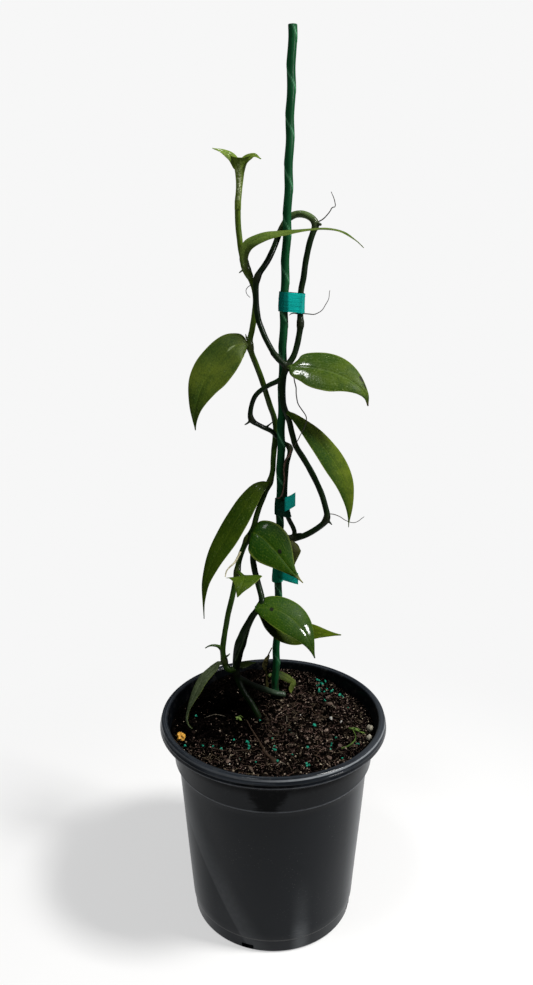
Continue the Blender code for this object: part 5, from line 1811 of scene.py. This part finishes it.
OLD_ROUTE = (
    (-7.5, 10.0, 139.0), (-11.0, 10.5, 150.0), (-15.5, 12.0, 158.5), (-20.5, 13.0, 166.5),
    (-25.0, 14.5, 175.5), (-27.4, 15.0, 184.5), (-26.8, 14.0, 193.0), (-24.8, 13.0, 205.0),
    (-20.8, 11.5, 218.5), (-15.3, 10.0, 231.5), (-10.0, 9.0, 239.5), (-8.2, 9.5, 244.5),
    (-9.5, 14.0, 250.5), (-11.5, 18.0, 256.5), (-14.0, 24.0, 265.0), (-14.5, 28.3, 273.0),
    (-10.0, 31.8, 280.5), (-1.0, 33.0, 284.5), (8.5, 33.8, 283.5), (14.5, 35.0, 282.5),
    (23.0, 33.0, 285.5), (32.5, 31.0, 292.0), (38.3, 30.0, 299.0), (37.5, 30.0, 307.5),
    (34.0, 31.0, 318.5), (28.0, 32.0, 331.5), (21.5, 33.0, 343.0), (15.8, 33.2, 352.0),
    (13.2, 33.0, 361.0), (11.0, 32.4, 370.0), (8.7, 31.0, 376.5), (6.8, 30.2, 382.5),
    (5.8, 29.8, 389.7), (5.9, 29.6, 396.7), (6.9, 29.4, 402.5), (9.0, 29.3, 408.5),
    (13.3, 30.3, 415.3), (15.6, 31.5, 421.8), (17.2, 32.3, 429.6), (18.0, 33.0, 437.3),
    (17.9, 33.5, 443.9), (18.2, 34.0, 458.1), (19.5, 34.0, 465.7), (21.4, 34.0, 479.0),
    (23.7, 33.8, 490.0), (26.0, 34.3, 496.8), (27.3, 35.0, 500.6), (25.2, 36.0, 504.7),
    (19.5, 37.0, 507.6), (14.0, 38.0, 507.5), (9.5, 38.3, 505.2), (6.3, 37.6, 500.8),
    (4.0, 36.3, 496.6), (1.5, 33.7, 490.1), (-1.2, 31.5, 483.8), (-4.1, 29.8, 478.1),
    (-7.4, 28.3, 473.4), (-9.9, 27.8, 469.8), (-11.6, 27.7, 464.7), (-11.9, 28.0, 458.4),
    (-11.7, 28.3, 450.9), (-10.5, 28.5, 441.1), (-8.3, 28.5, 434.5), (-4.9, 28.4, 426.7),
    (0.0, 28.3, 417.8), (2.5, 28.3, 415.0))
LOOP_ROUTE = (
    CROSSING, (6.9, 29.2, 403.0), (3.0, 29.5, 399.0), (-3.8, 30.5, 395.4), (-12.1, 32.0, 388.7),
    (-15.6, 34.0, 379.2), (-15.4, 35.0, 370.8), (-8.7, 37.0, 365.7), (-1.0, 39.8, 361.2),
    (1.9, 42.3, 357.2), (6.3, 43.9, 352.5), (11.6, 40.4, 349.6), (11.4, 36.3, 345.5),
    (9.9, 34.2, 340.0), (8.9, 33.4, 331.0), (8.5, 33.0, 320.0), (8.7, 32.8, 309.0),
    (10.8, 33.3, 299.0), (14.3, 34.6, 291.5), (15.6, 35.0, 287.0), LOWER_NODE)
OLD_STEM = Stem(
    name="stem_old", node="vine_old", slot=Slot.STEM_DARK,
    limbs=(
        Limb(OLD_ROUTE, 2.3, 2.0, (
            (-27.4, 15.0, 184.5), (-10.0, 9.0, 239.5), LOWER_NODE, (38.3, 30.0, 299.0), CROSSING,
            (27.5, 35.0, 501.0), (-10.8, 27.7, 467.5), (18.0, 33.0, 437.0)),
            thick_at=(-24.0, 12.7, 208.0)),
        Limb(((-0.6, 28.3, 418.6), (4.5, 28.4, 412.8), CROSSING), 2.2, 2.2),
        Limb(((26.8, 35.2, 501.6), (25.2, 36.0, 504.5), (19.5, 37.0, 507.3), (14.0, 38.0, 507.2),
              (9.5, 38.3, 505.0)), 2.3, 2.45),
        Limb(LOOP_ROUTE, 1.75, 1.75, ((-15.5, 35.0, 371.0), (11.6, 39.6, 349.5))),
        Limb(((-26.0, 15.0, 180.0), (-16.0, 22.5, 169.5), (-6.0, 31.0, 160.5), (2.0, 35.5, 154.8),
              (9.0, 37.0, 152.6)), 2.3, 2.3)),
    stubs=(
        (1.4, 0.6, ((38.0, 30.0, 299.5), (40.0, 29.0, 297.5), (42.0, 28.0, 295.5))),
        (1.5, 1.0, ((27.0, 35.0, 501.5), (29.3, 33.0, 501.3), (30.5, 32.0, 500.8))),
        (1.2, 0.6, ((-15.5, 35.2, 371.0), (-17.5, 33.5, 369.0), (-20.0, 32.5, 367.6))),
        (1.0, 0.5, ((-5.3, 38.2, 364.2), (-3.0, 37.0, 366.5), (-0.5, 36.5, 368.8))),
        (0.9, 0.45, ((17.6, 33.0, 443.8), (14.2, 30.6, 444.2), (11.9, 29.4, 444.2),
                     (10.2, 28.8, 443.0))),
        (1.3, 0.6, ((15.5, 35.0, 284.0), (18.5, 32.0, 287.0), (20.5, 30.5, 287.8)))),
    roots=(
        (0.42, 0.24, ((27.8, 35.0, 502.0), (33.0, 33.0, 505.0), (36.5, 31.0, 510.0),
                     (37.6, 30.0, 511.6), (39.6, 29.0, 511.8), (39.0, 28.0, 514.5),
                     (37.5, 27.0, 518.5), (36.5, 26.0, 520.8))),
        (0.36, 0.2, ((18.0, 33.4, 444.0), (19.6, 31.2, 444.0), (23.5, 29.0, 443.7),
                     (27.3, 27.0, 443.6), (30.3, 26.0, 445.4), (32.8, 25.0, 448.4),
                     (35.8, 24.0, 453.7), (36.9, 24.0, 459.4))),
        (0.42, 0.26, ((10.0, 29.0, 408.0), (12.8, 27.3, 404.5), (14.5, 25.0, 397.5),
                     (15.5, 23.0, 390.9), (16.6, 20.5, 385.0), (22.0, 17.0, 377.1),
                     (21.6, 16.0, 371.0), (18.4, 18.0, 363.2), (15.5, 23.5, 356.4),
                     (14.3, 28.5, 353.4), (15.0, 32.8, 353.2))),
        (0.38, 0.2, ((37.7, 30.0, 303.0), (44.0, 26.0, 303.5), (51.0, 23.0, 300.5),
                     (55.5, 21.0, 299.5), (59.0, 20.0, 300.2), (64.0, 19.0, 304.5)))),
    finish=StemFinish("stem_old_skin", (0.004, 0.012, 0.003), (0.060, 0.095, 0.030),
                      (0.010, 0.024, 0.004), (492.0, 510.0), scar=(0.022, 0.020, 0.009), foot=0.9),
    crease=((-13.1, 231.3), (-16.0, 226.5), (-18.9, 221.0), (-21.1, 214.6), (-23.4, 208.2),
            (-25.6, 201.8), (-27.9, 196.1)))
YOUNG_STEM = Stem(
    name="stem_young", node="vine_young", slot=Slot.STEM_GREEN,
    limbs=(
        Limb(YOUNG_ROUTE, 2.1, 2.0, (
            (-36.0, 14.0, 194.5), (-26.0, 21.0, 262.0), (-19.0, 29.0, 283.5), (-2.5, 40.5, 323.5),
            (-16.0, 33.3, 422.0), (-18.3, 33.3, 472.5))),
        Limb(YOUNG_FOOT, 2.1, 2.6)),
    stubs=(
        (1.7, 0.5, ((-36.8, 14.6, 201.5), (-39.7, 13.0, 206.0), (-43.0, 11.0, 208.3),
                    (-46.5, 9.5, 208.6), (-49.5, 8.5, 207.3))),
        (1.3, 0.5, ((-36.4, 14.0, 196.5), (-33.5, 11.5, 199.5), (-31.5, 10.3, 202.0))),
        (1.2, 0.5, ((-18.3, 33.3, 472.5), (-20.8, 31.5, 471.9), (-23.0, 30.5, 470.3))),
        (1.2, 0.5, ((-16.0, 33.0, 424.0), (-18.3, 31.0, 427.6), (-19.0, 30.3, 430.5)))),
    roots=(
        (0.28, 0.2, ((-13.8, 33.8, 463.0), (-16.5, 31.0, 461.8), (-18.3, 30.0, 459.5),
                     (-18.0, 30.0, 456.8), (-16.0, 30.8, 455.0))),),
    finish=StemFinish("stem_young_skin", (0.016, 0.042, 0.004), (0.075, 0.12, 0.012),
                      (0.03, 0.060, 0.006), (330.0, 520.0), gloss=0.26))
TIES = (
    Tie("tie_upper", 445.2, 458.0, -0.09, Held.OLD_STEM,
        # the tape's last number is the painted shade toward its far end
        TapeFinish("tape_upper", (0.003, 0.42, 0.37), (0.001, 0.050, 0.038), 9.6, 0.9, 0.5), 2.15),
    Tie("tie_middle", 299.8, 311.8, 0.0, Held.LOOP,
        TapeFinish("tape_middle", (0.003, 0.40, 0.33), (0.001, 0.024, 0.012), 8.3, 1.2, hem=300.2),
        1.85, ((8.2, 30.3, 304.6, 314.8), (15.7, 27.6, 309.8, 319.8))),
    Tie("tie_lower", 246.5, 260.5, 0.0, Held.NOTHING,
        TapeFinish("tape_lower", (0.003, 0.66, 0.52), (0.001, 0.12, 0.045), 7.0),
        tail=((4.9, 37.0, 249.7, 260.0), (18.6, 32.5, 247.2, 256.0))))
LEAVES = (
    (Blade("leaf_upper_left", (-16.0, 33.3, 422.0), 2.3, 13.3, 0.4,
           ((-0.25, -0.85, 0.45), (-0.25, -0.9, 0.3)),
           ((-21.0, 30.0, 424.0), (-28.3, 26.7, 421.8), (-37.5, 23.5, 412.0),
            (-46.0, 20.3, 400.7), (-50.0, 18.0, 392.0), (-52.6, 16.5, 382.8),
            (-53.3, 16.0, 374.5), (-53.2, 16.0, 367.5)), power=0.65),
     dict(tint=0.72, fresh=(0.073, 0.100, 0.0060), gloss=0.45, coat=0.0, shine=0.12,
          # a painted highlight near the base, along the midrib
          glint_marks=((0.0, 0.165, 0.9, 3.6),))),
    (Blade("leaf_upper_right", CROSSING, 2.9, 14.5, 0.42,
           ((0.1, -0.75, 0.65), (0.2, -0.75, 0.6)),
           ((14.5, 24.5, 408.7), (21.0, 22.8, 409.2), (28.5, 21.0, 408.3), (37.5, 19.0, 406.7),
            (47.5, 16.5, 403.3), (56.0, 13.5, 398.0), (61.5, 12.0, 391.5), (63.0, 12.0, 385.0))),
     dict(tint=0.62, spots=((-0.8, 0.74, 2.4), (-0.75, 0.81, 2.0)), gloss=0.3, coat=0.9,
          # the many pale specks and the paler vein tone are partly real speckling and partly a
          # painted sheen
          specks=0.8, tip=0.06,
          vein=(0.12, 0.17, 0.06),
          rise=0.3, wet=(0.62, 0.42), mottle=0.75)),
    (Blade("leaf_right", (8.6, 31.0, 377.0), 2.1, 9.0, 0.52,
           ((0.45, -0.8, 0.4), (0.6, -0.75, 0.3)),
           ((13.5, 27.5, 375.0), (20.3, 24.5, 369.6), (28.5, 21.5, 361.5), (38.1, 18.0, 350.0),
            (45.8, 15.5, 338.4), (49.9, 14.0, 329.4), (52.0, 13.0, 320.2), (52.9, 12.0, 310.9),
            (52.5, 12.0, 299.2)), power=0.9),
     dict(tint=0.6, fresh=(0.070, 0.098, 0.006), tint_side=-0.6, specks=0.35, gloss=0.55,
          coat=0.0, shine=0.04, rise=0.5)),
    (Blade("leaf_left", (-2.5, 40.5, 323.5), 2.6, 8.5, 0.42,
           ((-0.35, -0.85, 0.4), (-0.6, -0.75, 0.3)),
           ((-6.5, 36.0, 323.0), (-11.0, 33.0, 321.0), (-16.0, 30.7, 315.4), (-24.1, 27.5, 302.9),
            (-32.3, 25.5, 289.1), (-40.9, 23.0, 274.5), (-46.3, 21.0, 262.6), (-49.4, 19.0, 252.4),
            (-50.5, 18.0, 240.2), (-50.5, 18.0, 226.3)), power=0.8, point=1.8, tip=0.35),
     dict(tint=0.4, specks=0.35, gloss=0.4, coat=0.06)),
    (Blade("leaf_centre", (-17.0, 30.5, 288.0), 2.3, 14.3, 0.33,
           ((-0.1, -0.8, 0.6), (0.0, -0.85, 0.5)),
           ((-13.0, 25.0, 290.0), (-8.0, 21.5, 288.0), (-1.3, 18.0, 282.5), (5.2, 15.0, 275.5),
            (12.0, 12.0, 267.5), (21.0, 10.0, 258.0)), point=1.8),
     dict(tint=0.16, deep=(0.0045, 0.028, 0.0005), fresh=(0.045, 0.092, 0.0015), rise=0.8,
          spots=((-0.16, 0.49, 1.7),), specks=0.2, coat=0.1, wet=(0.4, 0.2), tip=0.16,
          dry=(0.36, 0.34, 0.15), rim=0.86)),
    (Blade("leaf_behind_centre", LOWER_NODE, 2.2, 6.9, 0.33, ((0.3, -0.85, 0.2), (0.3, -0.85, 0.2)),
           ((13.2, 29.2, 276.0), (13.5, 27.6, 268.0), (14.5, 26.6, 260.0)), rows=48),
     dict(tint=0.6, deep=(0.040, 0.045, 0.010), fresh=(0.12, 0.12, 0.03), coat=0.0)),
    (Blade("leaf_forward", (-26.0, 21.0, 262.0), 2.5, 13.0, 0.5,
           ((0.0, -0.25, 1.0), (0.0, -0.45, 0.9)),
           ((-22.6, 14.0, 262.4), (-21.2, 8.0, 263.9), (-20.6, 2.0, 264.9), (-21.3, -3.0, 263.2),
            (-23.0, -6.8, 260.2), (-24.8, -10.0, 255.8)), wave=0.1, cup=0.05, fold=0.06,
           outline=((0.0, 0.10), (0.26, 0.12), (0.32, 0.3), (0.42, 0.92), (0.46, 1.0), (0.52, 0.88),
                    (0.7, 0.52), (0.88, 0.2), (1.0, 0.03))),
     dict(tint=0.4, deep=(0.018, 0.045, 0.003), rise=0.6)),
    (Blade("leaf_low_right", (-13.0, 5.8, 239.4), 0.5, 11.3, 0.42,
           ((0.05, -0.7, 0.7), (0.1, -0.65, 0.75)),
           ((-7.5, 5.4, 240.3), (-2.5, 4.8, 240.5), (5.0, 3.0, 238.8), (13.0, 0.5, 234.5),
            (20.3, -2.0, 227.5), (25.8, -4.0, 217.6), (29.5, -5.0, 206.5)), base=2.4,
           groove=0.06, fold=0.05),
     dict(tint=0.24, deep=(0.008, 0.036, 0.0006), fresh=(0.048, 0.090, 0.0015),
          spots=((0.05, 0.18, 1.5),), coat=0.9, gloss=0.34, wet=(0.46, 0.54), rise=0.5,
          mottle=0.6, wet_from=-0.4)),
    (Blade("leaf_low_behind", (-11.3, 9.3, 237.0), 2.9, 9.5, 0.45,
           ((0.1, -0.5, 0.85), (0.1, -0.6, 0.8)),
           ((-3.5, 14.5, 225.5), (7.0, 17.0, 218.0), (17.5, 17.0, 215.0), (28.5, 15.0, 217.0),
            (38.5, 12.0, 217.5), (49.0, 9.0, 217.5))),
     # painted shade: this leaf is painted near-black toward its base, where it lies under the lower
     # right leaf
     dict(tint=0.5, deep=(0.004, 0.012, 0.001), rise=1.6, coat=0.0, shine=0.02)),
    (Blade("leaf_bottom_left", (-35.5, 13.7, 192.5), 2.6, 4.2, 0.36,
           ((-0.4, -0.6, 0.7), (-0.3, -0.8, 0.4)),
           ((-40.0, 13.0, 192.7), (-45.0, 10.5, 188.7), (-51.0, 7.5, 183.2), (-55.6, 4.5, 175.6),
            (-59.8, 1.5, 167.5), (-62.4, -1.5, 160.8), (-63.0, -4.5, 156.2),
            (-61.6, -7.0, 153.0), (-58.9, -9.0, 151.6)),
           outline=((0.0, 0.35), (0.12, 0.8), (0.3, 1.0), (0.45, 0.9), (0.62, 0.55), (0.74, 0.26),
                    (0.85, 0.2), (1.0, 0.08))),
     dict(tint=0.5, specks=0.1, deep=(0.022, 0.032, 0.014), fresh=(0.070, 0.090, 0.042),
          vein=(0.13, 0.16, 0.10), coat=0.0)),
    (Blade("bract_base", (-27.0, 14.5, 188.5), 2.5, 2.0, 0.35,
           ((0.0, -0.5, 0.85), (0.0, -0.5, 0.85)),
           ((-18.5, 19.5, 189.0), (-13.0, 22.0, 188.5)), rows=32, petiole=1.3, wave=0.2),
     dict(tint=0.7, deep=(0.05, 0.09, 0.015), fresh=(0.12, 0.17, 0.035), slot=Slot.YOUNG)),
    (Blade("leaf_withered", (2.2, 50.4, 164.0), 0.6, 3.1, 0.4,
           ((0.2, -0.55, 0.8), (0.3, -0.7, 0.5), (0.5, -0.75, 0.2)),
           ((5.8, 50.3, 162.6), (9.8, 50.2, 160.5), (13.7, 49.3, 158.5), (16.2, 47.8, 157.4),
            (16.3, 46.3, 156.3), (15.2, 45.0, 154.6), (14.3, 43.5, 152.6), (14.2, 42.0, 151.2)),
           petiole=1.2, petiole_reach=3.0, wave=0.5,
           outline=((0.0, 0.7), (0.15, 1.0), (0.4, 1.0), (0.55, 0.75), (0.7, 0.75), (0.9, 0.7),
                    (1.0, 0.3))),
     dict(deep=(0.011, 0.020, 0.005), fresh=(0.068, 0.088, 0.014), under=(0.05, 0.055, 0.012),
          tint=0.5, rise=1.0, gloss=0.5, coat=0.0, slot=Slot.WITHERED)))
ARCHING = Blade("leaf_arching", (-18.3, 33.3, 472.5), 2.5, 4.8, 0.48,
                ((0.2, -0.95, 0.3), (0.1, -0.25, 0.97), (0.05, -0.12, 1.0)),
                ((-19.2, 27.5, 473.6), (-19.5, 27.0, 477.3), (-19.6, 26.8, 481.0),
                 (-18.8, 26.4, 485.0), (-16.3, 26.0, 488.6), (-11.1, 25.2, 491.4),
                 (-4.5, 24.3, 493.8), (1.9, 23.0, 495.1), (10.4, 21.0, 496.4), (20.9, 17.5, 497.5),
                 (32.6, 11.5, 498.0), (42.8, 5.0, 496.1), (49.9, 0.0, 491.6), (54.8, -5.0, 486.9)),
                power=1.0, rows=90)
YOUNGEST = (
    Blade("young_left", (-23.4, 27.4, 533.0), 0.8, 2.6, 0.42,
          ((0.2, -0.85, 0.4), (0.15, -0.7, 0.7)),
          ((-24.4, 26.6, 538.0), (-26.6, 25.4, 541.2), (-29.8, 24.0, 543.2), (-33.8, 22.0, 544.9),
           (-38.4, 20.0, 545.9)), thick=0.8, petiole=1.0, petiole_reach=3.0, wave=0.2),
    Blade("young_right", (-20.9, 27.4, 533.0), 0.8, 2.3, 0.42,
          ((-0.2, -0.85, 0.4), (-0.1, -0.7, 0.7)),
          ((-20.2, 27.0, 537.6), (-18.4, 26.0, 539.8), (-15.6, 25.0, 541.4), (-12.3, 24.0, 542.3),
           (-8.4, 22.6, 540.0)), thick=0.8, petiole=1.0, petiole_reach=3.0, wave=0.2))


@dataclass
class LooseGrowth:
    """The pale root, the pinkish root and the dead twig behind the stake."""

    pale: Twig = (0.85, 0.4, ((-23.8, 23.0, 276.0), (-25.5, 21.0, 273.0), (-27.5, 19.0, 270.0),
                             (-31.0, 17.0, 267.3), (-33.5, 15.5, 264.5), (-34.3, 14.0, 261.0)))
    pink: Twig = (0.68, 0.5, ((12.3, 30.6, 349.8), (11.2, 29.8, 346.5), (8.7, 29.6, 343.0),
                             (7.5, 29.7, 336.0), (7.9, 29.7, 328.6), (7.0, 29.9, 320.5),
                             (5.6, 31.0, 315.6), (3.2, 33.0, 313.6)))
    twig: Twig = (1.1, 0.45, ((-4.4, 50.0, 141.0), (-4.3, 49.8, 154.5), (-4.8, 49.5, 163.0),
                              (-5.3, 49.2, 170.0), (-4.6, 48.8, 177.0), (-2.5, 48.2, 183.0),
                              (-0.8, 48.0, 187.0)))
    husk: tuple[Point, ...] = ((-5.9, 48.8, 167.5), (-6.0, 48.6, 171.5), (-5.4, 48.6, 175.0),
                               (-4.2, 48.6, 178.0), (-3.0, 48.6, 180.2))
    husk_radii: tuple[float, ...] = (1.0, 2.1, 2.3, 1.8, 0.7)

    def build(self) -> None:
        """Make the three of them."""
        cream = MottledFinish("cream_root", (0.24, 0.22, 0.13), (0.62, 0.58, 0.42), 420.0, 0.55, 0.2,
                              coat=0.1)
        pinkish = MottledFinish("pink_root", (0.05, 0.024, 0.016), (0.20, 0.12, 0.09), 420.0, 0.5,
                                0.2, coat=0.1)
        brown = MottledFinish("dry_stub", (0.05, 0.046, 0.015), (0.30, 0.27, 0.09), 420.0, 0.85,
                              0.6, (1.0, 1.0, 0.4))
        for name, node, (first, last, points), finish, slot in (
                ("root_cream", "root_pale", self.pale, cream, Slot.ROOT_PALE),
                ("root_rosy", "root_pink", self.pink, pinkish, Slot.ROOT_PINK),
                ("twig_dry", "dry_twig", self.twig, brown, Slot.DRY)):
            piece = strand(name, points, 1.0, first, last, 16, 0.8, 0.3, first)
            if node == "dry_twig":
                route = smooth_route(self.husk, 0.6)
                places = np.linspace(0.0, len(self.husk) - 1.0, len(route))
                radii = np.interp(places, range(len(self.husk)), self.husk_radii)
                husk = sweep("husk", route, [float(r) for r in radii], 16, 0.8, 0.6, 5.0)
                piece = join(name, [piece, husk])
            dress(piece, finish.material(), (node,), 60.0)


def main() -> None:
    """Build every piece in order and set up the studio."""
    logging.basicConfig(level=logging.INFO, format="%(name)s %(message)s")
    noise.seed_set(NOISE_SEED)
    stake = Stake()
    Pot().build()
    Soil().build()
    stake.build()
    routes = {Held.OLD_STEM: smooth_route(OLD_ROUTE, 2.0), Held.LOOP: smooth_route(LOOP_ROUTE, 2.0)}
    for tie in TIES:
        tie.build(stake, routes)
    OLD_STEM.build()
    YOUNG_STEM.build()
    LooseGrowth().build()
    dress_leaves(LEAVES)
    Shoot().build(YOUNGEST, ARCHING)
    Studio().build()


if __name__ == "__main__":
    main()
